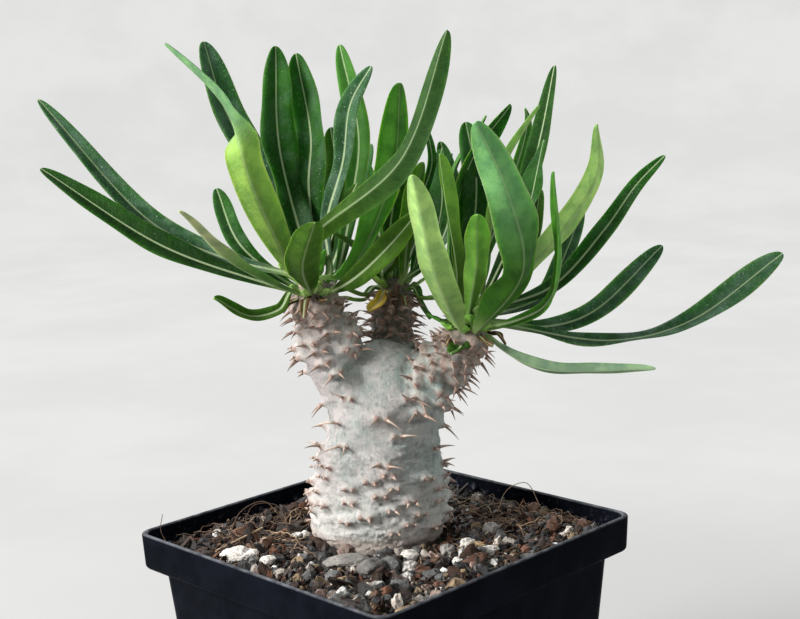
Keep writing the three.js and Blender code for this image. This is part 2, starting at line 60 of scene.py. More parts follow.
PLANT_RIGHT = (math.cos(math.radians(PLANT_TURN)), math.sin(math.radians(PLANT_TURN)), 0)

# The plant's frame: in the middle of the pot's mouth, with X along the row of arms
plant = Matrix.Translation((0, 0, POT_HEIGHT * MM)) @ Matrix.Rotation(math.radians(PLANT_TURN), 4, "Z")
print("frame:", len(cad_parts), "nodes, pot", round(POT_HEIGHT), "mm high")

# %% [markdown]
# ## Camera
#
# A photograph fixes its camera: the corners of the square rim say where the lens was, which way it
# looked and how strongly it enlarged. So the camera is placed first, in the plant's frame, by its
# position and three angles, and every later choice can be compared with the picture.

# %% Camera
EYE = Vector((0, -340.3, 113.9))
PAN, PITCH, ROLL = math.radians(1.03), math.radians(-9.81), math.radians(-2.29)
LENS, SENSOR = 62.44, 36


def placed(name, data):
    """An object with this data, in the scene."""
    made = bpy.data.objects.new(name, data)
    bpy.context.scene.collection.objects.link(made)
    return made


def aimed_camera():
    """A camera that looks from EYE, panned from +Y, pitched and rolled."""
    view = Vector((math.sin(PAN) * math.cos(PITCH), math.cos(PAN) * math.cos(PITCH), math.sin(PITCH)))
    level = Vector((math.cos(PAN), -math.sin(PAN), 0))
    above = level.cross(view)
    right = level * math.cos(ROLL) + above * math.sin(ROLL)
    up = above * math.cos(ROLL) - level * math.sin(ROLL)
    lens = bpy.data.cameras.new("camera")
    lens.sensor_width = SENSOR
    lens.lens = LENS
    lens.clip_start, lens.clip_end = 0.01, 20
    camera = placed("camera", lens)
    turn = Matrix((right, up, -view)).transposed().to_4x4()
    camera.matrix_world = plant @ Matrix.Translation(EYE * MM) @ turn
    return camera


bpy.context.scene.camera = aimed_camera()
print("camera:", [round(value, 3) for value in bpy.context.scene.camera.matrix_world.translation])

# %% [markdown]
# ## Meshes from rings, and nodes by name
#
# Pot, soil, limbs and leaves all share one idea: rings of points that follow each other, joined
# into a closed skin. One helper makes that skin, and another builds node trees so that each
# material reads as a recipe. Values that differ from point to point, such as the distance to a
# leaf's midrib, are kept as mesh attributes, and the materials read them by name.

# %% Helpers for meshes


def in_pot(points):
    """Points of the plant's frame, in millimetres, as metres in the pot's frame."""
    turn = np.array(plant.to_3x3())
    return np.asarray(points, float) @ turn.T * MM + np.array(plant.translation)


def ring_faces(rings, count):
    """The faces of a skin over rings of count points, with a face on each end."""
    faces = []
    for r in range(rings - 1):
        for k in range(count):
            a, b = r * count + k, r * count + (k + 1) % count
            faces.append((a, b, b + count, a + count))
    return faces + [tuple(reversed(range(count))), tuple(range((rings - 1) * count, rings * count))]


def circle(radius, sides):
    turn = np.linspace(0, 2 * math.pi, sides, endpoint=False)
    return radius * np.column_stack([np.cos(turn), np.sin(turn)])


def at_height(outline, z):
    """The points of a flat outline, lifted to a height."""
    return np.column_stack([outline, np.full(len(outline), z)])


def rows_of(mesh, field="co"):
    """The places of a mesh's points, or their normals, as rows."""
    rows = np.empty(len(mesh.vertices) * 3)
    mesh.vertices.foreach_get(field, rows)
    return rows.reshape(-1, 3)


def set_mark(mesh, label, values):
    """Keeps a value or a vector for each point of a mesh, under a name."""
    values = np.asarray(values, np.float32)
    kind, field = ("FLOAT", "value") if values.ndim == 1 else ("FLOAT_VECTOR", "vector")
    mesh.attributes.new(label, kind, "POINT").data.foreach_set(field, values.ravel())


def mesh_object(name, points, faces, material=None, marks=None, smooth=True, edges=()):
    """An object from points in metres. marks are named values, one for each point."""
    mesh = bpy.data.meshes.new(name)
    mesh.from_pydata(np.asarray(points, float).tolist(), edges, faces)
    for label, values in (marks or {}).items():
        set_mark(mesh, label, values)
    if material:
        mesh.materials.append(material)
    if smooth and faces:
        mesh.shade_smooth()
    return placed(name, mesh)


def settled(made, name, material=None):
    """A plain object with what made looks like through its modifiers, in place of made."""
    depsgraph = bpy.context.evaluated_depsgraph_get()
    mesh = bpy.data.meshes.new_from_object(made.evaluated_get(depsgraph))
    bpy.data.objects.remove(made)
    mesh.name = name
    if material:
        mesh.materials.clear()
        mesh.materials.append(material)
    print(f"{name}: {len(mesh.polygons)} faces")
    return placed(name, mesh)


def smooth_step(value, low, high):
    share = np.clip((np.asarray(value, float) - low) / (high - low), 0, 1)
    return share * share * (3 - 2 * share)


def direction(heading, rise):
    """A unit vector at a heading from X and a rise from level, in degrees."""
    heading, rise = math.radians(heading), math.radians(rise)
    level = math.cos(rise)
    return np.array([level * math.cos(heading), level * math.sin(heading), math.sin(rise)])


def curve_at(points, shares):
    """Centripetal Catmull-Rom curve through points, at shares of the way along its points.

    Any columns after the third, such as a radius, are carried along.
    """
    points = np.asarray(points, float)
    points = np.vstack([2 * points[0] - points[1], points, 2 * points[-1] - points[-2]])
    steps = np.sqrt(np.linalg.norm(np.diff(points[:, :3], axis=0), axis=1))
    at = np.clip(np.asarray(shares, float), 0, 1) * (len(points) - 3)
    k = np.minimum(at.astype(int), len(points) - 4)
    u = (at - k)[:, None]
    before, here, after = (steps[k + shift][:, None] for shift in (0, 1, 2))
    p, q, r, s = (points[k + shift] for shift in (0, 1, 2, 3))
    leave = here * ((q - p) / before - (r - p) / (before + here) + (r - q) / here)
    enter = here * ((r - q) / here - (s - q) / (here + after) + (s - r) / after)
    bend = -3 * q + 3 * r - 2 * leave - enter
    return q + leave * u + bend * u**2 + (2 * q - 2 * r + leave + enter) * u**3


# %% Helpers for nodes


class Recipe:
    """Adds nodes to a tree. An input is named, and given as a value or as a socket to link."""

    def __init__(self, tree):
        self.tree = tree

    def feed(self, node, inputs):
        for key, value in inputs.items():
            if isinstance(value, bpy.types.NodeSocket):
                self.tree.links.new(value, node.inputs[key])
            else:
                node.inputs[key].default_value = value

    def add(self, kind, inputs=None, **settings):
        node = self.tree.nodes.new(kind)
        for name, value in settings.items():
            setattr(node, name, value)
        self.feed(node, inputs or {})
        return node

    def math(self, operation, *values):
        return self.add("ShaderNodeMath", dict(enumerate(values)), operation=operation).outputs[0]

    def times(self, first, second):
        return self.math("MULTIPLY", first, second)

    def vector_math(self, operation, inputs, output="Vector"):
        return self.add("ShaderNodeVectorMath", inputs, operation=operation).outputs[output]

    def height(self, vector):
        return self.add("ShaderNodeSeparateXYZ", {"Vector": vector}).outputs["Z"]

    def join(self, *parts):
        """A vector from its X, Y and Z."""
        return self.add("ShaderNodeCombineXYZ", dict(enumerate(parts))).outputs[0]

    def mix(self, share, first, second, blend="MIX"):
        inputs = {0: share, 6: first, 7: second}
        return self.add("ShaderNodeMix", inputs, data_type="RGBA", blend_type=blend).outputs[2]

    def stained(self, color, stains):
        """A colour under others, each given as its share and itself, from the lowest up."""
        for share, stain in stains:
            stain = stain if isinstance(stain, bpy.types.NodeSocket) else (*stain, 1)
            color = self.mix(share, color, stain)
        return color

    def shaded(self, color, grey):
        """A colour times a grey value."""
        value = self.add("ShaderNodeCombineColor", dict.fromkeys(range(3), grey)).outputs[0]
        return self.mix(1.0, color, value, "MULTIPLY")

    def remap(self, value, low, high, to_low=0.0, to_high=1.0):
        ends = {"From Min": low, "From Max": high, "To Min": to_low, "To Max": to_high}
        node = self.add("ShaderNodeMapRange", {"Value": value} | ends, interpolation_type="SMOOTHSTEP")
        return node.outputs[0]

    def ramp(self, value, stops, interpolation="LINEAR"):
        node = self.add("ShaderNodeValToRGB", {"Fac": value})
        node.color_ramp.interpolation = interpolation
        while len(node.color_ramp.elements) < len(stops):
            node.color_ramp.elements.new(1)
        for element, (position, color) in zip(node.color_ramp.elements, stops):
            element.position = position
            element.color = (*color, 1)
        return node.outputs["Color"]

    def mark(self, name):
        return self.add("ShaderNodeAttribute", attribute_name=name).outputs["Fac"]

    def place(self, scale=(1, 1, 1)):
        """Object coordinates in millimetres, times scale."""
        where = self.add("ShaderNodeTexCoord").outputs["Object"]
        size = tuple(1000 * value for value in scale)
        return self.add("ShaderNodeMapping", {"Vector": where, "Scale": size}).outputs[0]

    def noise(self, vector, scale, detail=3.0, roughness=0.55):
        inputs = {"Vector": vector, "Scale": scale, "Detail": detail, "Roughness": roughness}
        return self.add("ShaderNodeTexNoise", inputs).outputs["Fac"]

    def bump(self, height, depth_mm, strength=1.0):
        inputs = {"Height": height, "Distance": depth_mm * MM, "Strength": strength}
        return self.add("ShaderNodeBump", inputs).outputs[0]


def material(name, **values):
    """A material with one Principled shader, as (material, recipe, shader)."""
    made = bpy.data.materials.new(name)
    made.use_nodes = True
    made.node_tree.nodes.clear()
    recipe = Recipe(made.node_tree)
    shader = recipe.add("ShaderNodeBsdfPrincipled", values)
    recipe.add("ShaderNodeOutputMaterial", {"Surface": shader.outputs[0]})
    return made, recipe, shader


def group_tree(kind, name, inputs, outputs):
    """A node group with named sockets, as (group, recipe, entry node)."""
    group = bpy.data.node_groups.new(name, kind)
    for label, socket_type, default in inputs:
        socket = group.interface.new_socket(label, in_out="INPUT", socket_type=socket_type)
        if default is not None:
            socket.default_value = default
    for label, socket_type in outputs:
        group.interface.new_socket(label, in_out="OUTPUT", socket_type=socket_type)
    recipe = Recipe(group)
    return group, recipe, recipe.add("NodeGroupInput")


# %% [markdown]
# ## Effects that several finishes share
#
# Bark, leaves, plastic and stones all carry fine dots: pores, breathing cells, dust. They also all
# vary slowly from place to place. Each effect is a shader node group with named inputs, so a
# material only says how large, how many and how strong.

# %% Speckle and mottle
FLOAT, VECTOR, COLOR = "NodeSocketFloat", "NodeSocketVector", "NodeSocketColor"


def speckle_group():
    """Round dots in a share of the cells of a Voronoi pattern."""
    inputs = [("Vector", VECTOR, None), ("Per mm", FLOAT, 2.0), ("Size", FLOAT, 0.25), ("Share", FLOAT, 0.5)]
    group, r, entry = group_tree("ShaderNodeTree", "speckle", inputs, [("Mask", FLOAT)])
    give = entry.outputs
    cells = r.add("ShaderNodeTexVoronoi", {"Vector": give["Vector"], "Scale": give["Per mm"]})
    draw = r.add("ShaderNodeSeparateColor", {"Color": cells.outputs["Color"]}).outputs[0]
    chosen = r.math("LESS_THAN", draw, give["Share"])
    size = r.times(give["Size"], r.math("ADD", draw, 0.5))
    dot = r.remap(cells.outputs["Distance"], r.times(size, 0.4), size, 1.0, 0.0)
    r.add("NodeGroupOutput", {"Mask": r.times(dot, chosen)})
    return group


def mottle_group():
    """A slow change between two colours, with a finer one inside it."""
    inputs = [("Vector", VECTOR, None), ("Per mm", FLOAT, 0.2),
              ("First", COLOR, None), ("Second", COLOR, None)]
    group, r, entry = group_tree("ShaderNodeTree", "mottle", inputs, [("Color", COLOR)])
    give = entry.outputs
    mask = r.remap(r.noise(give["Vector"], give["Per mm"], 4.0, 0.6), 0.35, 0.65)
    r.add("NodeGroupOutput", {"Color": r.mix(mask, give["First"], give["Second"])})
    return group


SPECKLE = speckle_group()
MOTTLE = mottle_group()


def speckle(recipe, vector, per_mm, size, share):
    inputs = {"Vector": vector, "Per mm": per_mm, "Size": size, "Share": share}
    return recipe.add("ShaderNodeGroup", inputs, node_tree=SPECKLE).outputs["Mask"]


def mottle(recipe, vector, per_mm, first, second):
    inputs = {"Vector": vector, "Per mm": per_mm, "First": (*first, 1), "Second": (*second, 1)}
    return recipe.add("ShaderNodeGroup", inputs, node_tree=MOTTLE).outputs["Color"]


print("shared effects:", SPECKLE.name, MOTTLE.name)

# %% [markdown]
# ## The pot
#
# A thin square shell of black polypropylene, moulded with a deep turned-over band round its mouth.
# It is lofted from rounded squares, up the outside, over the lip and down the inside, with small
# radii where a mould has them, because it is those radii that catch the light. The drain holes
# are cut through the floor.

# %% Pot shell
BAND_HEIGHT, BAND_HALF, RIM_HALF, RIM_CORNER = 9.5, 44.7, 45, 3.6
BODY_HALF, BODY_CORNER, TAPER = 41.5, 5.7, 0.08
WALL, FLOOR, CORNER_STEPS = 1.2, 1.8, 10
HOLES, HOLE_RADIUS, HOLE_SIDES, SIDE_REACH, CORNER_REACH = 8, 3.4, 24, 24, 27.6
SHARP_FROM = 50
BAND_FOOT = POT_HEIGHT - BAND_HEIGHT


def body_half(z):
    """Half width of the pot's outside at a height under the band."""
    return BODY_HALF - TAPER * (BAND_FOOT - z)


def rounded_square(half, corner, steps=CORNER_STEPS, side_steps=1):
    """A square with round corners, as (x, y) points counterclockwise from the corner at +X -Y."""
    reach = half - corner
    turns = np.radians(np.linspace(-90, 0, steps + 1))
    arc = np.column_stack([reach + corner * np.cos(turns), -reach + corner * np.sin(turns)])
    ends = np.array([[half, -reach], [half, reach]])
    sides = np.linspace(0, 1, side_steps + 1)[1:-1, None] * (ends[1] - ends[0]) + ends[0]
    quarter = np.vstack([arc, sides])
    spin = np.array([[0, 1], [-1, 0]])
    return np.vstack([quarter @ np.linalg.matrix_power(spin, k) for k in range(4)])


def fillet(centre, radius, start, end, steps=4):
    """Half width and height along a rounded edge of the pot's profile, angles in degrees."""
    angles = np.radians(np.linspace(start, end, steps + 1))
    return [(centre[0] + radius * math.cos(a), centre[1] + radius * math.sin(a)) for a in angles]


def pot_profile():
    """(half width, height, corner radius) up the outside, over the lip and down the inside."""
    top, ledge = POT_HEIGHT, BAND_FOOT + WALL
    foot = [(body_half(0) - 0.8, 0), (body_half(0) - 0.25, 0.2), (body_half(0), 0.8)]
    neck = [(body_half(BAND_FOOT - 2), BAND_FOOT - 2), (body_half(BAND_FOOT) + 0.15, BAND_FOOT - 0.5)]
    neck += [(body_half(BAND_FOOT) + 0.6, BAND_FOOT)]
    band = fillet((BAND_HALF - 1.1, BAND_FOOT + 1.1), 1.1, -90, 0)
    lip = fillet((RIM_HALF - 0.6, top - 0.6), 0.6, 0, 180, 8)
    inside = [(BAND_HALF - WALL, ledge + 1.2), (BAND_HALF - WALL - 0.3, ledge + 0.3)]
    inside += [(body_half(ledge) - WALL + 0.6, ledge), (body_half(ledge) - WALL, ledge - 0.8)]
    inside += [(body_half(FLOOR) - WALL, FLOOR + 0.8), (body_half(FLOOR) - WALL - 0.8, FLOOR)]
    body = [(half, z, BODY_CORNER) for half, z in foot + neck]
    mouth = [(half, z, RIM_CORNER) for half, z in band + lip + inside[:2]]
    return body + mouth + [(half, z, BODY_CORNER - 0.6) for half, z in inside[2:]]


def pot_shell(finish):
    rings = [at_height(rounded_square(half, corner), z) for half, z, corner in pot_profile()]
    shell = mesh_object("pot_shell", np.vstack(rings) * MM, ring_faces(len(rings), len(rings[0])))
    bores, faces = [], []
    for k in range(HOLES):
        heading = 2 * math.pi * k / HOLES
        reach = CORNER_REACH if k % 2 else SIDE_REACH
        hole = circle(HOLE_RADIUS, HOLE_SIDES) + reach * np.array([math.cos(heading), math.sin(heading)])
        first = len(bores) * HOLE_SIDES
        bores += [at_height(hole, z) for z in (-2 * FLOOR, 2 * FLOOR)]
        faces += [tuple(first + i for i in face) for face in ring_faces(2, HOLE_SIDES)]
    cutter = mesh_object("drain_cutter", np.vstack(bores) * MM, faces, smooth=False)
    cut = shell.modifiers.new("drain", "BOOLEAN")
    cut.operation, cut.solver, cut.object = "DIFFERENCE", "EXACT", cutter
    made = settled(shell, "pot_shell", finish)
    bpy.data.objects.remove(cutter)
    made.data.shade_smooth()
    made.data.set_sharp_from_angle(angle=math.radians(SHARP_FROM))
    return made


# %% [markdown]
# The plastic is black with a little blue in its sheen. What makes it look real is what has
# happened to it: fine scuffs that break up the gloss, dust in specks, and lime left by water on
# the inner wall. All of these change colour and roughness together. A pale blue-grey is painted
# along the top of the lip as a highlight.

# %% Pot plastic


def pot_plastic():
    made, r, shader = material("pot_plastic", **{"Specular IOR Level": 0.01})
    where = r.place()
    base = mottle(r, where, 0.12, (0.0025, 0.0035, 0.0055), (0.005, 0.006, 0.010))
    scuffs = r.noise(r.place((1, 1, 0.25)), 1.6, 6.0, 0.7)
    # Painted highlight: a pale blue-grey along the top of the lip, broken up by noise
    lip = r.remap(r.height(where), POT_HEIGHT - 0.55, POT_HEIGHT - 0.1)
    wear_and_highlight = r.times(lip, r.remap(r.noise(where, 0.35, 4.0), 0.3, 0.7, 0.3, 1.0))
    dust = speckle(r, where, 0.9, 0.16, 0.25)
    lime = r.times(r.mark("inside"), r.remap(r.noise(where, 0.5, 6.0, 0.75), 0.54, 0.68))
    color = r.stained(base, [
        (r.times(wear_and_highlight, 0.7), (0.17, 0.18, 0.20)),
        (r.times(dust, 0.1), (0.30, 0.29, 0.28)),
        (r.times(lime, 0.55), (0.34, 0.33, 0.42)),
    ])
    rough = r.math("ADD", r.remap(scuffs, 0.3, 0.7, 0.34, 0.56), r.times(lime, 0.3))
    r.feed(shader, {"Base Color": color, "Roughness": rough, "Normal": r.bump(scuffs, 0.06, 0.5)})
    return made


def mark_inside(pot):
    """A mark on the pot's inner wall, where lime and soil dust lie."""
    spots = rows_of(pot.data) / MM
    half = np.abs(spots[:, :2]).max(axis=1)
    set_mark(pot.data, "inside", (half < BAND_HALF - WALL + 0.1) & (spots[:, 2] > BAND_FOOT))


pot = pot_shell(pot_plastic())
mark_inside(pot)
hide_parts("pot")
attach(pot, "root")

# %% [markdown]
# ## The stem
#
# A caudex is one swollen body: its arms run out of the trunk without a seam. Each limb is made as
# a tube through the cross-sections of the solid, with a slimmer foot for the left arm. Then all
# four are fused by a voxel remesh and smoothed, which gives the soft saddles between them. The
# bark's relief is pressed into that skin point by point: low wrinkles that run round the stem, and
# tubercles, each a wide mound with two knobs that carry the spines.

# %% The limbs, fused
# Each limb's cross-sections from its foot up, as x, y, z and radius in the plant's frame
LIMBS = {
    "trunk": [
        (-0.8, 4, -18, 7.5), (-1.2, 4, -12, 12.5), (-1.6, 4, -6, 15.6), (-1.7, 4, 0, 17.4),
        (-1, 4, 6, 17), (-0.6, 4.2, 12, 16.5), (0, 4.6, 18, 15.2), (0.4, 5, 25, 14),
        (1.2, 5.6, 31, 13.4), (2, 6, 36, 10.5),
    ],
    "left_arm": [
        (-3, 5, 24, 9), (-6.8, 4.6, 34, 7.7), (-11.2, 4, 43.9, 7.6), (-12.8, 3.4, 49, 6.9),
        (-14, 2.6, 55, 5.2), (-15.4, 1.6, 60, 4.2),
    ],
    "middle_arm": [
        (3, 8, 27, 9), (4, 12, 36, 7.4), (3.9, 14, 43, 5.4), (4.2, 15, 50, 4.8), (5.4, 16.4, 57, 3.9),
    ],
    "right_arm": [
        (5, 4.4, 25, 9.6), (10, 2.2, 33, 8), (15, -0.4, 39.5, 6), (20.4, -3.2, 45, 4.5),
        (23.4, -5.4, 50.4, 4),
    ],
}
BARK_BUMP, LIMB_SIDES, LIMB_STATIONS, DOME_STEPS = 0.03, 48, 36, (80, 60, 40, 20)
VOXEL, FUSE_SMOOTHING = 0.4, 18


def limb_frame(sections, shares):
    """Middle, radius, and unit vectors along, across and back, at shares of a limb's length."""
    rows = curve_at(sections, shares)
    step = 1e-3
    ahead, behind = (curve_at(sections, np.clip(np.asarray(shares) + d, 0, 1)) for d in (step, -step))
    along = (ahead - behind)[:, :3]
    along /= np.linalg.norm(along, axis=1)[:, None]
    across = np.cross([0, 1, 0], along)
    across /= np.linalg.norm(across, axis=1)[:, None]
    return rows[:, :3], rows[:, 3], along, across, np.cross(along, across)


def bark_point(sections, shares, angles):
    """Points of the bare bark and their outward directions."""
    middle, girth, along, across, back = limb_frame(sections, shares)
    bump = np.sin(3 * angles + 0.31 * middle[:, 2]) + 0.7 * np.sin(5 * angles - 0.52 * middle[:, 2])
    radius = girth * (1 + BARK_BUMP * smooth_step(middle[:, 2], 0, 8) * bump)
    outward = across * np.cos(angles)[:, None] + back * np.sin(angles)[:, None]
    return middle + outward * radius[:, None], outward, along


def limb_rings(sections):
    """Rings over a limb, with a dome on each end."""
    shares = np.linspace(0, 1, LIMB_STATIONS)
    angles = np.linspace(0, 2 * math.pi, LIMB_SIDES, endpoint=False)
    middle, girth, along, across, back = limb_frame(sections, shares)

    def dome(end, way):
        spokes = np.cos(angles)[:, None] * across[end] + np.sin(angles)[:, None] * back[end]
        for lean in np.radians(DOME_STEPS[::way]):
            heart = middle[end] - way * along[end] * girth[end] * math.sin(lean)
            yield heart + spokes * girth[end] * math.cos(lean)

    tube = [bark_point(sections, np.full(LIMB_SIDES, share), angles)[0] for share in shares]
    return [*dome(0, 1), *tube, *dome(-1, -1)]


def fused_limbs():
    points, faces = [], []
    for sections in LIMBS.values():
        rings = limb_rings(sections)
        first = sum(len(ring) for ring in points)
        points += rings
        faces += [tuple(first + i for i in face) for face in ring_faces(len(rings), LIMB_SIDES)]
    made = mesh_object("limbs", in_pot(np.vstack(points)), faces)
    fuse = made.modifiers.new("fuse", "REMESH")
    fuse.mode, fuse.voxel_size = "VOXEL", VOXEL * MM
    soften = made.modifiers.new("soften", "SMOOTH")
    soften.factor, soften.iterations = 0.5, FUSE_SMOOTHING
    return settled(made, "bark")


bark = fused_limbs()

# %% [markdown]
# Tubercles stand in a spiral, as leaf scars do: each is a golden angle further round than the one
# below. Low on the trunk they are worn to stubs, higher up their spines are whole, and on the arms
# they crowd together. The rule draws a place on the limb, and the nearest point of the fused skin
# is where it stands.

# %% Tubercles
GOLDEN_ANGLE = math.pi * (3 - math.sqrt(5))

# Limb, the stretch of its length, how many, shortest and longest spine, and height of the mound
TUBERCLE_BANDS = [
    ("trunk", (0.36, 0.62), 60, (0.3, 1.5), 1.35),
    ("trunk", (0.62, 0.97), 26, (3.0, 5.2), 0.8),
    ("left_arm", (0.30, 0.97), 44, (1.6, 3.4), 1.6),
    ("middle_arm", (0.34, 0.99), 56, (2.4, 4.2), 0.7),
    ("right_arm", (0.28, 0.98), 46, (1.8, 4.2), 1.6),
]
MOUND_ACROSS, MOUND_HIGH, KNOB_APART, KNOB_WIDE, KNOB_TALL = 2.3, 1.35, 1.15, 0.74, 0.95
HOLLOW_ACROSS, HOLLOW_HIGH, HOLLOW_UP, HOLLOW_DEEP = 2.2, 0.6, 1.9, 0.45
FARTHEST_FROM_SKIN, LUMP_REACH, LUMP_SIZES, ANGLE_SCATTER = 1.2, 6, (0.75, 1.15), 0.25

# Three layers of wrinkles, as waves per millimetre round the stem and up it
WRINKLES = ((0.11, 0.5), (0.35, 0.9), (1.1, 1.3))


def tubercles(skin):
    """Where each tubercle stands: its spot and axes in the pot's frame, and its spines."""
    tree = BVHTree.FromObject(skin, bpy.context.evaluated_depsgraph_get())
    draw = random.Random(4)
    found = []
    for limb, (low, high), count, (short, long), tall in TUBERCLE_BANDS:
        for k in range(count):
            share = low + (high - low) * (k + 0.5) / count
            angle = k * GOLDEN_ANGLE + draw.uniform(-ANGLE_SCATTER, ANGLE_SCATTER)
            spot, outward, along = bark_point(LIMBS[limb], np.array([share]), np.array([angle]))
            target = Vector(in_pot(spot)[0])
            near, normal, _, gap = tree.find_nearest(target)
            if gap > FARTHEST_FROM_SKIN * MM:
                continue
            up = Vector(in_pot(along)[0] - in_pot(np.zeros((1, 3)))[0]).normalized()
            side = normal.cross(up).normalized()
            found.append({
                "spot": near, "out": normal, "side": side, "up": side.cross(normal) * -1, "tall": tall,
                "spines": [draw.uniform(short, long) for _ in range(2)],
                "size": draw.uniform(*LUMP_SIZES), "arm": limb != "trunk",
            })
    return found


def press_relief(skin, lumps):
    """Raises mounds and knobs and presses wrinkles into the bark, and marks where they are."""
    mesh = skin.data
    spots, normals = rows_of(mesh) / MM, rows_of(mesh, "normal")
    rise, knob_mark = np.zeros(len(spots)), np.zeros(len(spots))
    for lump in lumps:
        offset = spots - np.array(lump["spot"]) / MM
        near = np.linalg.norm(offset, axis=1) < LUMP_REACH
        size = lump["size"]
        x, y = (offset[near] @ np.array(lump[axis]) / size for axis in ("side", "up"))
        mound = np.exp(-((x / MOUND_ACROSS) ** 2) - ((y + 0.5) / MOUND_HIGH) ** 2)
        hollow = np.exp(-((x / HOLLOW_ACROSS) ** 2) - ((y - HOLLOW_UP) / HOLLOW_HIGH) ** 2)
        knobs = sum(np.exp(-(((x - way * KNOB_APART) ** 2 + y**2) / KNOB_WIDE**2)) for way in (-1, 1))
        rise[near] += size * (lump["tall"] * mound - HOLLOW_DEEP * hollow + KNOB_TALL * knobs)
        knob_mark[near] = np.maximum(knob_mark[near], knobs)
    rough = 1.25 - 0.8 * smooth_step(spots[:, 2], POT_HEIGHT + 17, POT_HEIGHT + 26)
    for k in np.flatnonzero(spots[:, 2] > POT_HEIGHT - 8):
        x, y, z = spots[k]
        broad, fine, finest = (noise.noise((x * flat, y * flat, z * up)) for flat, up in WRINKLES)
        wrinkle = broad + 0.6 * fine
        crease = max(0.0, 1 - abs(wrinkle) / 0.14)
        rise[k] += rough[k] * (0.5 * wrinkle - 0.26 * crease + 0.13 * finest)
    mesh.vertices.foreach_set("co", ((spots + normals * rise[:, None]) * MM).ravel())
    set_mark(mesh, "knob", knob_mark)
    set_mark(mesh, "relief", rise)
    mesh.update()
    mesh.shade_smooth()


lumps = tubercles(bark)
press_relief(bark, lumps)
print("tubercles:", len(lumps))

# %% [markdown]
# The bark is thin and papery. It shines silver where it is stretched, is mottled lavender and
# blue-green, and browns towards the young tips and in a band just above the soil. Light and shade
# are painted on it as well: its left side is painted lavender as the lit side and its right side pale
# blue-green as the shaded side, the foot of the trunk is painted paler as if brightly lit, and the
# hollows of its relief are painted darker and the tops of its mounds lighter. Dark pores and fine
# lines cover it, and the knobs are tan and pink.

# %% Bark


def crown_marks(skin):
    """How far each point of the bark is towards the tip of an arm, from 0 to 1."""
    spots = rows_of(skin.data)
    for label, reaches in (("young", {"left_arm": 18, "right_arm": 25}), ("shaggy", {"middle_arm": 20})):
        share = np.zeros(len(spots))
        for limb, reach in reaches.items():
            tip = in_pot([LIMBS[limb][-1][:3]])[0]
            share = np.maximum(share, 1 - np.linalg.norm(spots - tip, axis=1) / MM / reach)
        set_mark(skin.data, label, share)


def bark_finish():
    made, r, shader = material("bark", **{"Specular IOR Level": 0.5})
    where = r.place()
    relief, height = r.mark("relief"), r.height(where)
    silver = mottle(r, where, 0.5, (0.58, 0.57, 0.53), (0.29, 0.34, 0.32))
    tinted = mottle(r, where, 0.09, (0.60, 0.51, 0.52), (0.29, 0.41, 0.38))
    # How far a point lies towards the view's right, for the painted light and shade of the stem's two sides
    across = r.vector_math("DOT_PRODUCT", {0: where, 1: PLANT_RIGHT}, "Value")
    across = r.math("MULTIPLY_ADD", r.noise(where, 0.15, 4.0), 14.0, across)
    streaks = r.noise(r.place((1, 1, 0.3)), 1.6, 6.0, 0.75)
    blotch = r.noise(r.place((1, 1, 0.6)), 0.8, 6.0, 0.72)
    fine = speckle(r, where, 3.0, 0.34, 0.6)
    pores = r.math("MAXIMUM", speckle(r, where, 1.3, 0.22, 0.35), r.times(fine, 0.8))
    earthy = r.math("SUBTRACT", height, r.times(r.noise(where, 0.4, 4.0), 4.0))
    patchy = r.remap(r.noise(where, 0.45, 4.0), 0.2, 0.8, -0.35, 0.35)
    young = r.math("ADD", r.mark("young"), patchy)
    shaggy = r.math("ADD", r.mark("shaggy"), r.times(patchy, 0.6))
    color = r.stained(r.mix(0.55, silver, tinted), [
        # Painted shade and light: the right side is painted pale blue-green as the shaded side, the left side
        # lavender as the lit side
        (r.remap(across, 12.0, 24.0, 0.0, 0.75), (0.48, 0.62, 0.58)),
        (r.remap(across, 0.0, -10.0, 0.0, 0.6), (0.56, 0.46, 0.46)),
        # Painted light: the foot of the trunk is painted paler, as if brightly lit
        (r.remap(height, POT_HEIGHT + 4, POT_HEIGHT + 17, 0.7, 0.0), (0.84, 0.83, 0.79)),
        (r.remap(streaks, 0.42, 0.7, 0.0, 0.5), (0.68, 0.64, 0.62)),
        # Painted shade in the hollows of the relief, and a painted highlight on the tops of the mounds
        (r.remap(relief, -0.7, 0.0, 0.75, 0.0), (0.13, 0.145, 0.135)),
        (r.remap(relief, 0.2, 1.3, 0.0, 0.65), (0.69, 0.64, 0.59)),
        (r.remap(blotch, 0.5, 0.68, 0.0, 0.65), (0.19, 0.235, 0.225)),
        (r.times(pores, 0.6), (0.12, 0.115, 0.115)),
        (r.remap(earthy, POT_HEIGHT - 4.5, POT_HEIGHT - 0.5, 0.62, 0.0),
         mottle(r, where, 0.6, (0.60, 0.48, 0.41), (0.36, 0.23, 0.17))),
        (r.remap(young, 0.1, 0.8, 0.0, 0.85), mottle(r, where, 0.6, (0.45, 0.34, 0.27), (0.14, 0.095, 0.07))),
        (r.remap(shaggy, 0.05, 0.5, 0.0, 0.92),
         mottle(r, where, 1.0, (0.17, 0.14, 0.09), (0.045, 0.036, 0.024))),
        (r.remap(r.mark("knob"), 0.06, 0.65, 0.0, 0.85),
         mottle(r, where, 1.2, (0.54, 0.38, 0.33), (0.34, 0.21, 0.165))),
    ])
    grain = r.math("MULTIPLY_ADD", r.noise(where, 3.0, 5.0, 0.7), 1.0, streaks)
    grain = r.math("MULTIPLY_ADD", pores, -0.5, grain)
    rough = r.remap(streaks, 0.3, 0.7, 0.45, 0.7)
    r.feed(shader, {"Base Color": color, "Roughness": rough, "Normal": r.bump(grain, 0.5, 1.0)})
    return made


crown_marks(bark)
bark.data.materials.append(bark_finish())
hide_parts("stem")
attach(bark, "root")

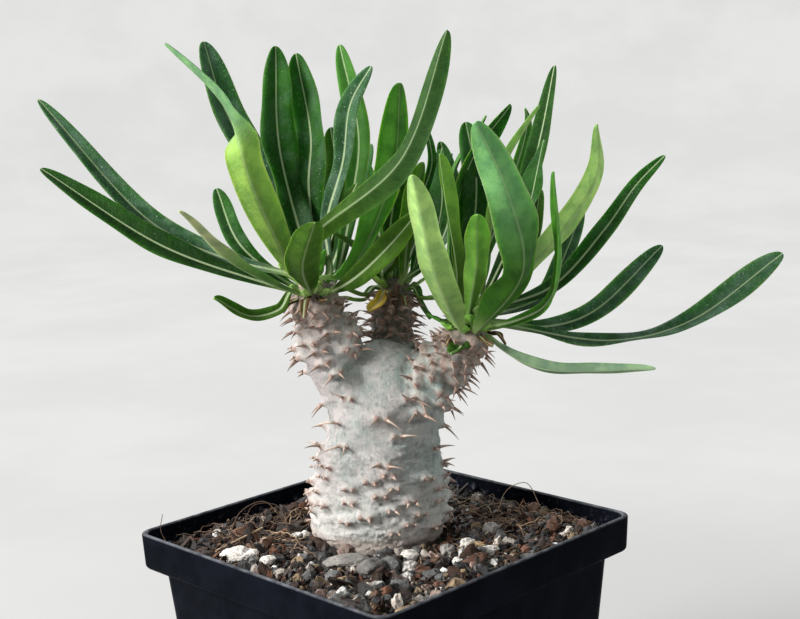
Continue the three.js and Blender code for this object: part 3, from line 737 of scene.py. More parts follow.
# %% [markdown]
# ## Spines
#
# Two spines part from every tubercle. They are what a node tree is made for: one tapered spine,
# placed on hundreds of points, each point carrying its own aim, length and thickness as
# attributes. The tree also bends each spine a little, by moving its points along a curve that
# grows with the square of the distance from the foot.

# %% Spine tree
GEOMETRY, INTEGER = "NodeSocketGeometry", "NodeSocketInt"
STRING, MATERIAL = "NodeSocketString", "NodeSocketMaterial"


def named(recipe, name, kind="FLOAT"):
    """An attribute's value inside a Geometry Nodes tree."""
    return recipe.add("GeometryNodeInputNamedAttribute", {"Name": name}, data_type=kind).outputs[0]


def keep(recipe, geometry, name, value):
    """Stores a value for each point under a name, and gives the geometry back."""
    inputs = {"Geometry": geometry, "Name": name, "Value": value}
    settings = {"data_type": "FLOAT", "domain": "POINT"}
    return recipe.add("GeometryNodeStoreNamedAttribute", inputs, **settings).outputs[0]


def dressed(recipe, geometry, finish):
    """Ends a tree with the geometry in its finish."""
    inputs = {"Geometry": geometry, "Material": finish}
    recipe.add("NodeGroupOutput", {"Geometry": recipe.add("GeometryNodeSetMaterial", inputs).outputs[0]})


def on_points(recipe, points, shape, turn, size):
    """A shape placed on points, turned and sized, and made real."""
    inputs = {"Points": points, "Instance": shape, "Rotation": turn, "Scale": size}
    copies = recipe.add("GeometryNodeInstanceOnPoints", inputs).outputs[0]
    return recipe.add("GeometryNodeRealizeInstances", {"Geometry": copies}).outputs[0]


def spine_tree():
    inputs = [("Feet", GEOMETRY, None), ("Sides", INTEGER, 6), ("Steps", INTEGER, 4),
              ("Tip width", FLOAT, 0.1), ("Sag", FLOAT, 0.2), ("Finish", MATERIAL, None)]
    tree, r, entry = group_tree("GeometryNodeTree", "spines", inputs, [("Geometry", GEOMETRY)])
    give = entry.outputs
    cone = r.add("GeometryNodeMeshCone", {
        "Vertices": give["Sides"], "Side Segments": give["Steps"], "Radius Top": give["Tip width"],
        "Radius Bottom": 1.0, "Depth": 1.0}, fill_type="TRIANGLE_FAN")
    height = r.height(r.add("GeometryNodeInputPosition").outputs[0])
    spine = keep(r, cone.outputs["Mesh"], "out", height)
    aim = r.add("FunctionNodeAlignRotationToVector", {"Vector": named(r, "aim", "FLOAT_VECTOR")}, axis="Z")
    girth, reach = named(r, "girth"), named(r, "reach")
    real = on_points(r, give["Feet"], spine, aim.outputs[0], r.join(girth, girth, reach))
    out = named(r, "out")
    drop = r.times(r.times(out, out), r.times(reach, give["Sag"]))
    inputs = {"Geometry": real, "Offset": r.join(0.0, 0.0, r.times(drop, -1.0))}
    dressed(r, r.add("GeometryNodeSetPosition", inputs).outputs[0], give["Finish"])
    return tree


def grown(name, base, tree, **values):
    """What tree grows on base, as a plain object. Inputs are given by their names."""
    sockets = {item.name: item.identifier for item in tree.interface.items_tree if item.in_out == "INPUT"}
    grow = base.modifiers.new("grow", "NODES")
    grow.node_group = tree
    for label, value in values.items():
        grow[sockets[label.replace("_", " ")]] = value
    return settled(base, name)


def spine_finish():
    """Tan at the foot and dark at the tip, as old spines are."""
    made, r, shader = material("spine", **{"Specular IOR Level": 0.4})
    tone = r.mark("tone")
    pale = r.ramp(tone, [(0.0, (0.24, 0.15, 0.115)), (0.5, (0.40, 0.27, 0.21)), (1.0, (0.55, 0.44, 0.36))])
    dark = r.ramp(tone, [(0.0, (0.05, 0.03, 0.022)), (1.0, (0.38, 0.27, 0.20))])
    wear_and_highlight = r.remap(r.noise(r.place(), 2.5, 3.0), 0.4, 0.7, 0.0, 0.3)
    color = r.stained(pale, [(r.remap(r.mark("out"), 0.25, 0.95), dark), (wear_and_highlight, (0.45, 0.40, 0.36))])
    r.feed(shader, {"Base Color": color, "Roughness": 0.55})
    return made


# %% Spines on the tubercles
# Spread from the bark's outward direction and lift above level, in degrees, each with its scatter
SPINE_SPREAD, SPREAD_SCATTER, SPINE_LIFT, LIFT_SCATTER = 40, (-14, 16), 4, (-22, 24)
SPINE_GIRTH, GIRTH_SHARES, SPINE_SEAT = 0.46, (0.75, 1.1), 0.55


def spine_feet(lumps):
    draw = random.Random(9)
    feet, aims, reaches, girths, tones = [], [], [], [], []
    for lump in lumps:
        for way, reach in zip((-1, 1), lump["spines"]):
            spread = math.radians(SPINE_SPREAD + draw.uniform(*SPREAD_SCATTER))
            lift = math.radians(SPINE_LIFT + draw.uniform(*LIFT_SCATTER))
            aside, out, size = lump["side"] * way, lump["out"], lump["size"]
            aim = out * math.cos(spread) + aside * math.sin(spread) + lump["up"] * math.sin(lift)
            knob = aside * KNOB_APART * size + out * (SPINE_SEAT * KNOB_TALL + lump["tall"]) * size
            feet.append(lump["spot"] + knob * MM)
            aims.append(aim.normalized())
            reaches.append(reach * MM)
            girths.append(SPINE_GIRTH * draw.uniform(*GIRTH_SHARES) * MM)
            tones.append(draw.uniform(0.0, 0.65) if lump["arm"] else draw.uniform(0.45, 1.0))
    marks = {"aim": aims, "reach": reaches, "girth": girths, "tone": tones}
    return mesh_object("feet", feet, [], marks=marks)


spines = grown("spines", spine_feet(lumps), spine_tree(), Sides=6, Steps=4, Tip_width=0.08, Sag=0.22,
               Finish=spine_finish())
spines.data.shade_smooth()
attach(spines, "root")

# %% [markdown]
# ## Leaves
#
# A leaf is a long narrow blade: widest past its middle, folded along a pale midrib that is a
# groove above and a keel below, and thin enough to glow with light from behind. Each one follows
# its own line through a few points measured from the tip of its arm, close to those that place its
# solid. The section is built ring by ring, with the margin waved and rolled slightly down.
#
# Old leaves are nearly black-green or grey with bloom, young ones are fresh and yellowish, and
# every underside is paler than the face above it. So a tint is a pair of colours. Some tints paint
# light in as well: the slate tint and a grey-green one on a tip paint a grey sheen into the colour,
# and the sunlit and glow tints paint a leaf bright yellow-green as if lit through from behind.

# %% Where the leaves grow
# Painted sheen: the slate tint paints a grey sheen into its leaves' colour on top of their bloom, and the
# grey-green sheen tint does the same at a tip
TINTS = {name: np.array(pair) for name, pair in {
    "deep": ((0.016, 0.066, 0.009), (0.070, 0.190, 0.035)),
    "slate": ((0.034, 0.088, 0.038), (0.105, 0.215, 0.095)),
    "green": ((0.045, 0.140, 0.022), (0.085, 0.235, 0.035)),
    "fresh": ((0.055, 0.185, 0.018), (0.085, 0.275, 0.030)),
    # Painted light: this sunlit tint and the glow tint below paint leaves bright yellow-green, as if lit
    # through from behind
    "sunlit": ((0.140, 0.290, 0.045), (0.275, 0.455, 0.095)),
    "olive": ((0.045, 0.105, 0.010), (0.100, 0.195, 0.028)),
    "dusk": ((0.028, 0.075, 0.008), (0.045, 0.110, 0.010)),
    "pale": ((0.120, 0.230, 0.065), (0.235, 0.370, 0.105)),
    "soft": ((0.070, 0.170, 0.035), (0.120, 0.250, 0.060)),
    "lime": ((0.120, 0.290, 0.035), (0.200, 0.430, 0.070)),
    "glow": ((0.195, 0.340, 0.105), (0.305, 0.475, 0.150)),
    "sage": ((0.150, 0.240, 0.140), (0.150, 0.230, 0.140)),
    "haze": ((0.130, 0.290, 0.110), (0.140, 0.310, 0.120)),
    "moss": ((0.030, 0.110, 0.012), (0.052, 0.160, 0.020)),
    "gloom": ((0.014, 0.045, 0.008), (0.020, 0.052, 0.012)),
    "straw": ((0.250, 0.260, 0.120), (0.300, 0.320, 0.170)),
    "yellow": ((0.620, 0.400, 0.050), (0.640, 0.450, 0.090)),
    "dry": ((0.120, 0.062, 0.032), (0.085, 0.045, 0.025)),
}.items()}

# seat is the foot's (heading, rise) on the arm's tip. rib is what the midrib passes, in millimetres
# from the middle of the tip. roll turns the blade, twist adds to it over a stretch of its length,
# widest is how far along it is widest, and crisp is how strongly its margin waves.
ROSETTES = {
    "left": [
        dict(seat=(174, 8), width=6.9, roll=-45, widest=0.55, tint="gloom",
             rib=[(-15, 0, 4), (-37, 2, 13), (-67, 9, 33)]),
        dict(seat=(158, 40), width=6.4, roll=-35, widest=0.48, tint="slate",
             rib=[(-22, 4, 9), (-40, 9, 18), (-68, 17, 50)]),
        dict(seat=(-120, 8), width=5.6, tint="soft", tip="straw", widest=0.5,
             rib=[(-17, -16, 10), (-27, -34, 25)]),
        dict(seat=(138, 8), width=5.2, roll=-40, rib=[(-18, 10, 11), (-25, 24, 25)]),
        dict(seat=(122, 42), width=9.4, tint="slate", rib=[(-11.5, 10, 27), (-20.8, 18, 45), (-26, 24, 63)]),
        dict(seat=(-140, 42), width=8.6, roll=45, twist=-98, span=(0.54, 0.66), widest=0.45, tint="sunlit",
             tip="slate", rib=[(-7, -16, 15), (-12, -28, 32), (-15.5, -27, 46), (-31, -10, 62)]),
        dict(seat=(110, 72), width=9, crisp=2.6, widest=0.52, rib=[(-7, 9, 36), (-7, 16, 61)]),
        dict(seat=(72, 46), width=8.8, crisp=2.4, widest=0.55, rib=[(0, 8, 26), (1, 12, 38), (-2, 18, 59)]),
        dict(seat=(20, 42), width=5.6, roll=40, tint="slate", crisp=2,
             rib=[(4, 2, 16), (9, 2, 32), (11.5, 3, 46), (17, 4, 55)]),
        dict(seat=(36, 12), width=6.4, roll=20, tint="green", rib=[(11, 20, 23), (13, 25, 37), (9, 30, 61)]),
        dict(seat=(-64, 8), width=6.8, roll=-65, tint="dusk", tip="gloom", span=(0.2, 0.7),
             rib=[(0, -14, 13), (23, -38, 35), (34, -30, 62)]),
        dict(seat=(-50, 44), width=8.4, roll=-10, tint="fresh", tip="moss",
             rib=[(8, -8, 5), (20.5, -20, 30), (23, -24, 51)]),
        dict(seat=(-34, 8), width=6, roll=110, tint="olive",
             rib=[(12, -13, 6), (20, -19, 14), (26, -22, 21)]),
        dict(seat=(-152, 8), width=4.6, roll=-30, tint="olive",
             rib=[(-8, -5, -3), (-15, -8, -4), (-23, -14, 2)]),
        dict(seat=(-92, 12), width=8.2, tint="dusk", widest=0.5, rib=[(-1, -24, 10), (3, -42, 22)]),
        dict(seat=(102, 8), width=6.2, rib=[(-4, 28, 12), (-8, 52, 30)]),
        dict(seat=(66, 8), width=5.8, rib=[(8, 22, 12), (16, 44, 34)]),
    ],
    "middle": [
        dict(seat=(-60, 44), width=5.6, tint="dusk", rib=[(3, -7, 12), (6, -10, 27), (8, -10, 34)]),
        dict(seat=(-8, 44), width=7, roll=30, crisp=2, rib=[(8, 0, 7), (13, 2, 21), (13, 4, 33)]),
        dict(seat=(62, 62), width=3, roll=60, rib=[(5, 6, 18), (11, 10, 32), (10, 12, 42)]),
        dict(seat=(34, 30), width=5.6, crisp=2, rib=[(11, 14, 25), (17, 20, 34)]),
        dict(seat=(-150, 56), width=3.2, tint="dusk", rib=[(0, -2, 8), (2, -4, 15)]),
        dict(seat=(-146, 30), width=3.4, tint="olive", rib=[(-6, -4, 5), (-9, -10, 9)]),
        dict(seat=(-176, 14), width=3.4, tint="olive", rib=[(-8, -3, 0), (-14, -7, 3)]),
        dict(seat=(152, 12), width=3.2, tint="olive", rib=[(-8, 2, -2), (-15, 1, -1)]),
        dict(seat=(-36, 12), width=3.6, tint="olive", rib=[(6, -4, -1), (11, -8, -1)]),
        dict(seat=(14, 12), width=3.6, rib=[(6, 3, -3), (9, 8, -9)]),
        dict(seat=(-122, 10), width=4, tint="yellow", rib=[(-4, -7, -1), (-7, -11, -3)]),
        dict(seat=(170, 44), width=5, roll=30, tint="dusk", rib=[(-10, -9, 13), (-15, -17, 18)]),
        dict(seat=(72, 8), width=6, rib=[(14, 26, 10), (20, 46, 26)]),
        dict(seat=(116, 10), width=6.2, rib=[(-4, 28, 16), (-10, 44, 38)]),
    ],
    "right": [
        dict(seat=(8, 8), width=6.6, roll=20, twist=24, tint="slate", crisp=3.2, widest=0.8,
             rib=[(13, 2, -1), (36, 7, -6), (57, 13, -3), (82, 17, 13)]),
        dict(seat=(42, 8), width=5.9, roll=55, tint="slate", rib=[(19, 9, -2), (32, 15, 0), (53, 27, 15)]),
        dict(seat=(24, 40), width=5, roll=45, widest=0.55,
             rib=[(21, 9, 8), (36, 17, 21), (45, 20, 32), (53, 23, 39)]),
        dict(seat=(-28, 42), width=6.4, roll=-40, tint="glow", widest=0.5,
             rib=[(9, -7, 11), (22, -13, 26), (30, -10, 38), (30.5, -7, 49)]),
        dict(seat=(-52, 8), width=5, roll=60, tint="fresh", rib=[(16, -11, 6), (19, -21, 17), (17, -29, 40)]),
        dict(seat=(-34, -20), width=4.6, roll=-48, tint="sage", widest=0.35,
             rib=[(7, -6, -4), (15, -16, -7), (39, -31, -5)]),
        dict(seat=(-84, 8), width=10.4, tint="moss", tip="haze", widest=0.42, crisp=2.4,
             rib=[(10.5, -22, 17), (6.5, -33, 36), (-0.5, -39, 52)]),
        dict(seat=(-118, 8), width=8, tint="glow", widest=0.42, rib=[(-9.3, -19, 17), (-14.2, -35, 41)]),
        dict(seat=(-100, 46), width=6, tint="lime", crisp=2.6, rib=[(1, -10, 18), (1, -17, 30)]),
        dict(seat=(66, 34), width=6, roll=-10, tint="gloom", widest=0.6,
             rib=[(13, 15, 22), (21, 25, 44), (26, 31, 63)]),
        dict(seat=(104, 34), width=4, roll=40, tint="green", rib=[(12, 27, 29), (19, 36, 48), (19, 39, 52)]),
        dict(seat=(-62, 50), width=5, roll=40, tint="pale", rib=[(5, -7, 27), (8, -9, 40), (17, -7, 54)]),
        dict(seat=(16, 74), width=7, crisp=3, rib=[(11, 2, 14), (15, 5, 26), (20, 9, 45)]),
        dict(seat=(76, 12), width=5, roll=30, tint="slate", rib=[(19, 13, 5), (27, 21, 16), (32, 27, 26)]),
        dict(seat=(146, 62), width=7.4, tint="fresh", tip="deep", rib=[(-3, 7, 25), (2, 9, 41), (12, 9, 54)]),
        dict(seat=(160, 24), width=4, roll=40, rib=[(-4, 13, 21), (-2, 19, 38), (7, 21, 51)]),
        dict(seat=(134, 14), width=6, rib=[(-1, 24, 22), (-4, 40, 44)]),
        dict(seat=(106, 12), width=6, tint="green", rib=[(4, 30, 8), (8, 54, 22)]),
    ],
}

# %% One leaf
STATIONS = 1 - (1 - np.linspace(0, 1, 52)) ** 1.5
ACROSS = np.sin(np.linspace(-0.5, 0.5, 15) * math.pi)
FOOT_WIDTH, FOLD, THICK, KEEL, GROOVE = 1.7, 27, 0.42, 0.4, 0.10
FOOT_SUNK, FOOT_OUT, MARGIN_ROLL, FOOT_THICK = 1.0, 1.9, 0.12, 0.8
BLOOM = {"slate": 1.0, "deep": 0.35}


def blade_width(t, width, widest):
    """Width along a blade: a narrow stalk that widens slowly, and a blunt round tip."""
    widening = np.sin(0.5 * math.pi * np.clip(t / widest, 0, 1)) ** 0.85
    closing = (1 - np.clip((t - widest) / (1 - widest), 0, 1) ** 2.4) ** 0.48
    return np.maximum(width * widening * closing, FOOT_WIDTH * (1 - t) ** 0.5 + 0.1)


def margin_waves(t, phase, height):
    """How far the left and the right margin rise at a station."""
    shift = np.array([0, 2.4])
    waves = 0.055 * np.sin(9 * t + phase + shift) + 0.028 * np.sin(21 * t + 2.3 * phase + 2 * shift)
    return waves * height * math.sin(math.pi * t) ** 0.5


def even_curve(passes, shares):
    """Points and unit tangents at shares of a curve's length, and the length."""
    fine = curve_at(passes, np.linspace(0, 1, 400))
    lengths = np.concatenate([[0], np.cumsum(np.linalg.norm(np.diff(fine, axis=0), axis=1))])
    spots = np.column_stack([np.interp(shares * lengths[-1], lengths, column) for column in fine.T])
    along = np.gradient(spots, lengths[-1] * shares, axis=0)
    return spots, along / np.linalg.norm(along, axis=1)[:, None], lengths[-1]


def turned(vector, axis, degrees):
    return np.array(Matrix.Rotation(math.radians(degrees), 3, Vector(axis)) @ Vector(vector))


def section(x, half, t, waves):
    """Heights of a blade's upper and lower face, at shares x of its half width."""
    across = np.abs(x) * half
    base = math.tan(math.radians(FOLD)) * (np.sqrt(across**2 + 0.2) - math.sqrt(0.2))
    base += np.where(x < 0, *waves) * np.abs(x) ** 1.6
    base -= MARGIN_ROLL * half * np.clip((np.abs(x) - 0.7) / 0.3, 0, 1) ** 2
    thick = 0.5 * (THICK + FOOT_THICK * math.exp(-((t / 0.07) ** 2))) * (1 - x**4)
    groove = GROOVE * np.exp(-((across / 0.4) ** 2))
    keel = KEEL * (1 - 0.6 * t) * np.exp(-((across / 0.5) ** 2))
    return base + thick - groove, base - thick - keel


def leaf_piece(name, side, finish, phase, seat, width, rib, roll=0, twist=0, span=(0.35, 0.8),
               widest=0.68, crisp=1, tint="deep", tip=None):
    *centre, crown = LIMBS[side + "_arm"][-1]
    out = direction(*seat)
    foot = centre + out * (crown - FOOT_SUNK)
    passes = [foot, foot + out * (FOOT_SUNK + FOOT_OUT)] + [np.add(centre, spot) for spot in rib]
    spots, along, length = even_curve(passes, STATIONS)
    face = direction(seat[0] + 180, 90 - seat[1])
    x = np.concatenate([ACROSS, ACROSS[-2:0:-1]])
    top = np.arange(len(x)) < len(ACROSS)
    frill = 1 + 0.035 * crisp * np.sin(17 * STATIONS + phase) * np.sin(math.pi * STATIONS)
    halves = blade_width(STATIONS, width, widest) / 2 * frill
    points = []
    for t, spot, run, half in zip(STATIONS, spots, along, halves):
        face = face - run * (face @ run)
        face /= np.linalg.norm(face)
        up = turned(face, run, roll + twist * float(smooth_step(t, *span)))
        aside = np.cross(run, up)
        upper, lower = section(x, half, t, margin_waves(t, phase, width * crisp))
        high = np.where(top, upper, lower)
        points.append(spot + np.outer(x * half, aside) + np.outer(high, up))
    change = np.repeat(smooth_step(STATIONS, *span), len(x))[:, None]
    tints = [(1 - change) * TINTS[tint][k] + change * TINTS[tip or tint][k] for k in (0, 1)]
    marks = {
        "rib_mm": np.outer(halves, np.abs(x)).ravel(),
        "edge_mm": np.outer(halves, 1 - np.abs(x)).ravel(),
        "run_mm": np.repeat(STATIONS * length, len(x)),
        "along": np.repeat(STATIONS, len(x)),
        "upper": np.tile(top.astype(float), len(STATIONS)),
        "face_tint": tints[0],
        "back_tint": tints[1],
        "bloom": np.full(len(STATIONS) * len(x), BLOOM.get(tint, 0.1)),
    }
    faces = ring_faces(len(STATIONS), len(x))
    return mesh_object(name, in_pot(np.vstack(points)), faces, finish, marks)


# %% [markdown]
# The upper face has a pale, sharp midrib, faint side veins and a sprinkling of white breathing
# cells, which are thickest on the leaves with bloom. Light goes through the thin blade, so part of
# it is scattered inside, which is what turns a leaf lit from behind to yellow-green.

# %% Leaf finish


def leaf_finish(name):
    made, r, shader = material(name, **{
        "Specular IOR Level": 0.05, "Subsurface Weight": 0.22, "Subsurface Scale": 0.0016,
        "Subsurface Radius": (0.5, 1.0, 0.2)})
    where = r.place()
    along, rib, upper, bloom = (r.mark(label) for label in ("along", "rib_mm", "upper", "bloom"))
    face, back = (r.add("ShaderNodeAttribute", attribute_name=label).outputs["Color"]
                  for label in ("face_tint", "back_tint"))
    patches = mottle(r, where, 0.24, (0.76, 0.80, 0.84), (1.18, 1.14, 1.10))
    color = r.mix(1.0, r.mix(r.remap(upper, 0.3, 0.7), back, face), patches, "MULTIPLY")
    color = r.shaded(color, r.remap(along, 0.15, 0.95, 0.72, 1.22))
    veins = r.math("PINGPONG", r.math("MULTIPLY_ADD", rib, -0.7, r.mark("run_mm")), 0.9)
    veins = r.times(r.remap(veins, 0.0, 0.25, 1.0, 0.0), r.remap(r.mark("edge_mm"), 0.3, 1.2))
    fine = speckle(r, where, 2.6, 0.34, 0.5)
    cells = r.math("MAXIMUM", speckle(r, where, 1.25, 0.26, 0.45), r.times(fine, 0.6))
    cells = r.times(r.times(cells, upper), r.times(bloom, 0.95))
    dust = r.times(r.times(bloom, upper), r.remap(r.noise(where, 0.22), 0.4, 0.7, 0.0, 0.28))
    line = r.remap(r.math("DIVIDE", rib, r.math("MULTIPLY_ADD", along, -0.3, 0.48)), 0.5, 1.0, 1.0, 0.0)
    color = r.stained(color, [
        (r.times(veins, 0.035), (0.22, 0.36, 0.14)),
        (r.times(cells, r.remap(r.noise(where, 0.3), 0.3, 0.6, 0.4, 1.0)), (0.50, 0.60, 0.50)),
        (dust, (0.20, 0.28, 0.24)),
        (r.times(line, r.remap(upper, 0.3, 0.7, 0.3, 0.72)), (0.42, 0.52, 0.30)),
        (r.remap(r.mark("edge_mm"), 0.04, 0.2, 0.06, 0.0), (0.30, 0.42, 0.20)),
        (r.remap(along, 0.0, 0.17, 0.8, 0.0), (0.30, 0.42, 0.15)),
    ])
    relief = r.math("MULTIPLY_ADD", veins, -0.14, r.times(r.noise(where, 1.2, 4.0), 0.9))
    rough = r.remap(r.noise(where, 0.6, 4.0), 0.3, 0.7, 0.46, 0.64)
    r.feed(shader, {"Base Color": color, "Roughness": rough, "Normal": r.bump(relief, 0.16, 0.8)})
    return made


LEAF_FINISHES = {slot: leaf_finish(slot) for slot in ("leaf_green", "leaf_yellow")}
for side, leaves in ROSETTES.items():
    for k, facts in enumerate(leaves):
        slot = "leaf_yellow" if facts.get("tint") == "yellow" else "leaf_green"
        label = f"{side}_{k + 1:02d}"
        leaf = leaf_piece("blade_" + label, side, LEAF_FINISHES[slot], 1.7 * k, **facts)
        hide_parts("leaf_" + label)
        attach(leaf, "root")
    print(side, "rosette:", len(leaves), "leaves")

# %% [markdown]
# Between the stalks stand the youngest leaves, a few millimetres long, pale and nearly upright.
# Below them hang the dry remains of the oldest ones, curled against the arm. Both are the same
# blade at another size, spread round each tip by the golden angle.

# %% Young and dry leaves
# Arm, how many young leaves, how many dry ones, and the longest of each
CROWNS = [("left", 9, 7, 9, 8), ("middle", 6, 8, 8, 7), ("right", 16, 5, 8, 9)]
YOUNG_WIDTH, YOUNG_BEND, YOUNG_TINTS = 2.5, 14, ["sunlit", "pale", "fresh"]
DRY_WIDTH, DRY_RISE, DRY_BEND, SMALL_REACH = 2.2, (-30, 0), (-60, 30), (0.5, 1.0)


def small_leaf(name, side, heading, rise, reach, bend, width, tint, slot, phase):
    """A short blade that leaves its arm at a rise and ends bent by some degrees."""
    first, last = direction(heading, rise), direction(heading, rise + bend)
    start = first * LIMBS[side + "_arm"][-1][3]
    rib = [start + first * reach * 0.45, start + first * reach * 0.45 + last * reach * 0.55]
    leaf = leaf_piece(name, side, LEAF_FINISHES["leaf_green"], phase, (heading, rise), width, rib,
                      widest=0.5, tint=tint, crisp=2)
    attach(leaf, "root")


# Leaves that fill the middle of a crown, where only their edges show: arm, then the blade's facts
HEARTS = [
    ("right", dict(seat=(-150, 60), width=7, tint="dusk", rib=[(-3, 0, 16), (-5, 2, 32), (-6, 4, 43)])),
    ("right", dict(seat=(100, 60), width=7.5, tint="deep", crisp=2,
                   rib=[(1, 6, 18), (3, 10, 36), (1, 13, 50)])),
    ("right", dict(seat=(60, 30), width=6, tint="dusk", rib=[(10, 8, 9), (17, 14, 20), (20, 18, 32)])),
    ("middle", dict(seat=(120, 60), width=7, tint="dusk", rib=[(-1, 5, 14), (1, 8, 28), (-1, 11, 40)])),
    ("middle", dict(seat=(30, 60), width=7, tint="deep", crisp=2,
                    rib=[(6, 6, 12), (11, 9, 24), (14, 10, 36)])),
    ("left", dict(seat=(60, 50), width=6.5, tint="dusk", rib=[(4, 8, 14), (7, 13, 28), (6, 17, 40)])),
]
for k, (side, facts) in enumerate(HEARTS):
    leaf = leaf_piece(f"heart_{k + 1}", side, LEAF_FINISHES["leaf_green"], 2.1 * k, **facts)
    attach(leaf, "root")

# Short leaves that the photo shows one by one: arm, heading, rise, reach, bend, width and tint
STUBS = [("left", 38, 62, 26, -6, 5.4, "dusk"), ("right", -126, -34, 7, 30, 5.2, "dusk")]
STUBS += [("right", -62 - 17 * k, 6 + 9 * (k % 3), 4.6 - 0.4 * (k % 2), 40, 3.6, "lime") for k in range(7)]
STUBS += [("left", -60 - 22 * k, 2 + 8 * (k % 2), 5, 40, 3.2, "pale") for k in range(4)]
for k, (side, *facts) in enumerate(STUBS):
    small_leaf(f"stub_{k + 1}", side, *facts, "leaf_green", k)

for side, young, dry, young_reach, dry_reach in CROWNS:
    draw = random.Random(side)
    for k in range(young):
        heading = math.degrees(k * GOLDEN_ANGLE) + 40
        tint = draw.choice(YOUNG_TINTS)
        rise = 84 - 78 * (k / young) ** 0.8
        reach = young_reach * draw.uniform(*SMALL_REACH)
        small_leaf(f"young_{side}_{k + 1}", side, heading, rise, reach, YOUNG_BEND, YOUNG_WIDTH, tint,
                   "leaf_green", k)
    for k in range(dry):
        heading, rise = math.degrees(k * GOLDEN_ANGLE) - 70, draw.uniform(*DRY_RISE)
        reach, bend = dry_reach * draw.uniform(*SMALL_REACH), draw.uniform(*DRY_BEND)
        small_leaf(f"dry_{side}_{k + 1}", side, heading, rise, reach, bend, DRY_WIDTH, "dry", "bark", k)
    print(side, "crown:", young, "young and", dry, "dry leaves")

# %% [markdown]
# ## Soil
#
# The potting mix is bark and peat with a lot of grit. Up close it is thousands of separate crumbs,
# so the ground itself is only an uneven dark bed, and node trees scatter the crumbs, grit and bark
# chips over it. Every grain is a small ball of a few faces, squashed at random and pushed out of
# shape by a noise that no two grains sample at the same place.

# %% The bed
SOIL_DROP, CLEARANCE = 4.5, 0.3
SOIL_TOP = POT_HEIGHT - SOIL_DROP
TOP_HALF = BAND_HALF - WALL - CLEARANCE
TRUNK = np.array(LIMBS["trunk"][3])

# The bed's rings inwards from the wall, and the steps of each ring round a corner and along a side
BED_RINGS, BED_STEPS = 52, (6, 34)
GRAIN_FREE_EDGE, CHIP_FREE_EDGE = 1.2, 3.2


def swell(x, y):
    """Low swells of the surface, which fade out at the pot's wall."""
    fade = np.clip(4 * (1 - np.maximum(np.abs(x), np.abs(y)) / TOP_HALF), 0, 1)
    return 0.7 * fade * (np.sin(0.23 * x + 1.1) * np.cos(0.19 * y) + 0.6 * np.sin(0.5 * x + 0.41 * y))


def soil_bed(finish):
    """A block that fills the pot, with a fine surface and marks for where grains may lie."""
    ledge, low = BAND_FOOT + WALL, FLOOR + CLEARANCE
    foot, shelf = (body_half(z) - WALL - CLEARANCE for z in (low, ledge - 1))
    outlines = [
        (foot - 1, 4.7, low), (foot, 5, low + 1), (shelf, 5, ledge - 1), (TOP_HALF - 1, 4, ledge + 0.6),
        (TOP_HALF, RIM_CORNER, ledge + 1.6), (TOP_HALF, RIM_CORNER, SOIL_TOP - 1),
    ]
    shares = np.linspace(0.985, 0.02, BED_RINGS)
    outlines += [(TOP_HALF * share, RIM_CORNER * share, SOIL_TOP) for share in shares]
    rings = [at_height(rounded_square(half, corner, *BED_STEPS), z) for half, corner, z in outlines]
    points = np.vstack(rings)
    top = points[:, 2] >= SOIL_TOP - 0.01
    points[:, 2] += np.where(top, swell(points[:, 0], points[:, 1]), 0)
    for k in np.flatnonzero(top):
        x, y, z = points[k]
        points[k, 2] += 1.1 * noise.noise((x * 0.16, y * 0.16, 2)) + 0.8 * noise.noise((x * 0.7, y * 0.7, 7))
    stem = in_pot([TRUNK[:3]])[0][:2] / MM
    from_stem = np.linalg.norm(points[:, :2] - stem, axis=1)
    from_wall = TOP_HALF - np.abs(points[:, :2]).max(axis=1)
    # What faces the camera is mostly grit, and what lies behind the stem mostly bark and fibre
    right = np.array(PLANT_RIGHT[:2])
    toward = (points[:, :2] - stem) @ np.array([right[1], -right[0]])
    sideways = (points[:, :2] - stem) @ right
    open_ground = top * (from_stem > TRUNK[3] - 0.5) * (from_wall > GRAIN_FREE_EDGE)
    gritty = smooth_step(toward + 0.45 * sideways, -14, 8)
    clear = open_ground * (from_wall > CHIP_FREE_EDGE)
    marks = {"open": open_ground, "gritty": clear * (0.15 + 0.85 * gritty),
             "barky": clear * (1 - 0.75 * gritty)}
    return mesh_object("soil_bed", points * MM, ring_faces(len(rings), len(rings[0])), finish, marks)


def bed_finish():
    made, r, shader = material("soil_bed", Roughness=0.95)
    where = r.place()
    crumbly = r.remap(r.noise(where, 2.5, 5.0, 0.7), 0.5, 0.75, 0.0, 0.6)
    dark = mottle(r, where, 0.8, (0.010, 0.007, 0.005), (0.035, 0.020, 0.012))
    color = r.stained(dark, [(crumbly, (0.10, 0.062, 0.038))])
    r.feed(shader, {"Base Color": color, "Normal": r.bump(r.noise(where, 2.2, 6.0, 0.7), 0.9, 0.9)})
    return made


soil = soil_bed(bed_finish())
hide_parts("soil")
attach(soil, "root")
print("soil bed:", len(soil.data.polygons), "faces")

# %% Grain tree


def draw_between(recipe, low, high, seed):
    """A random value for each point or instance."""
    inputs = {2: low, 3: high, "Seed": seed}
    return recipe.add("FunctionNodeRandomValue", inputs, data_type="FLOAT").outputs[1]


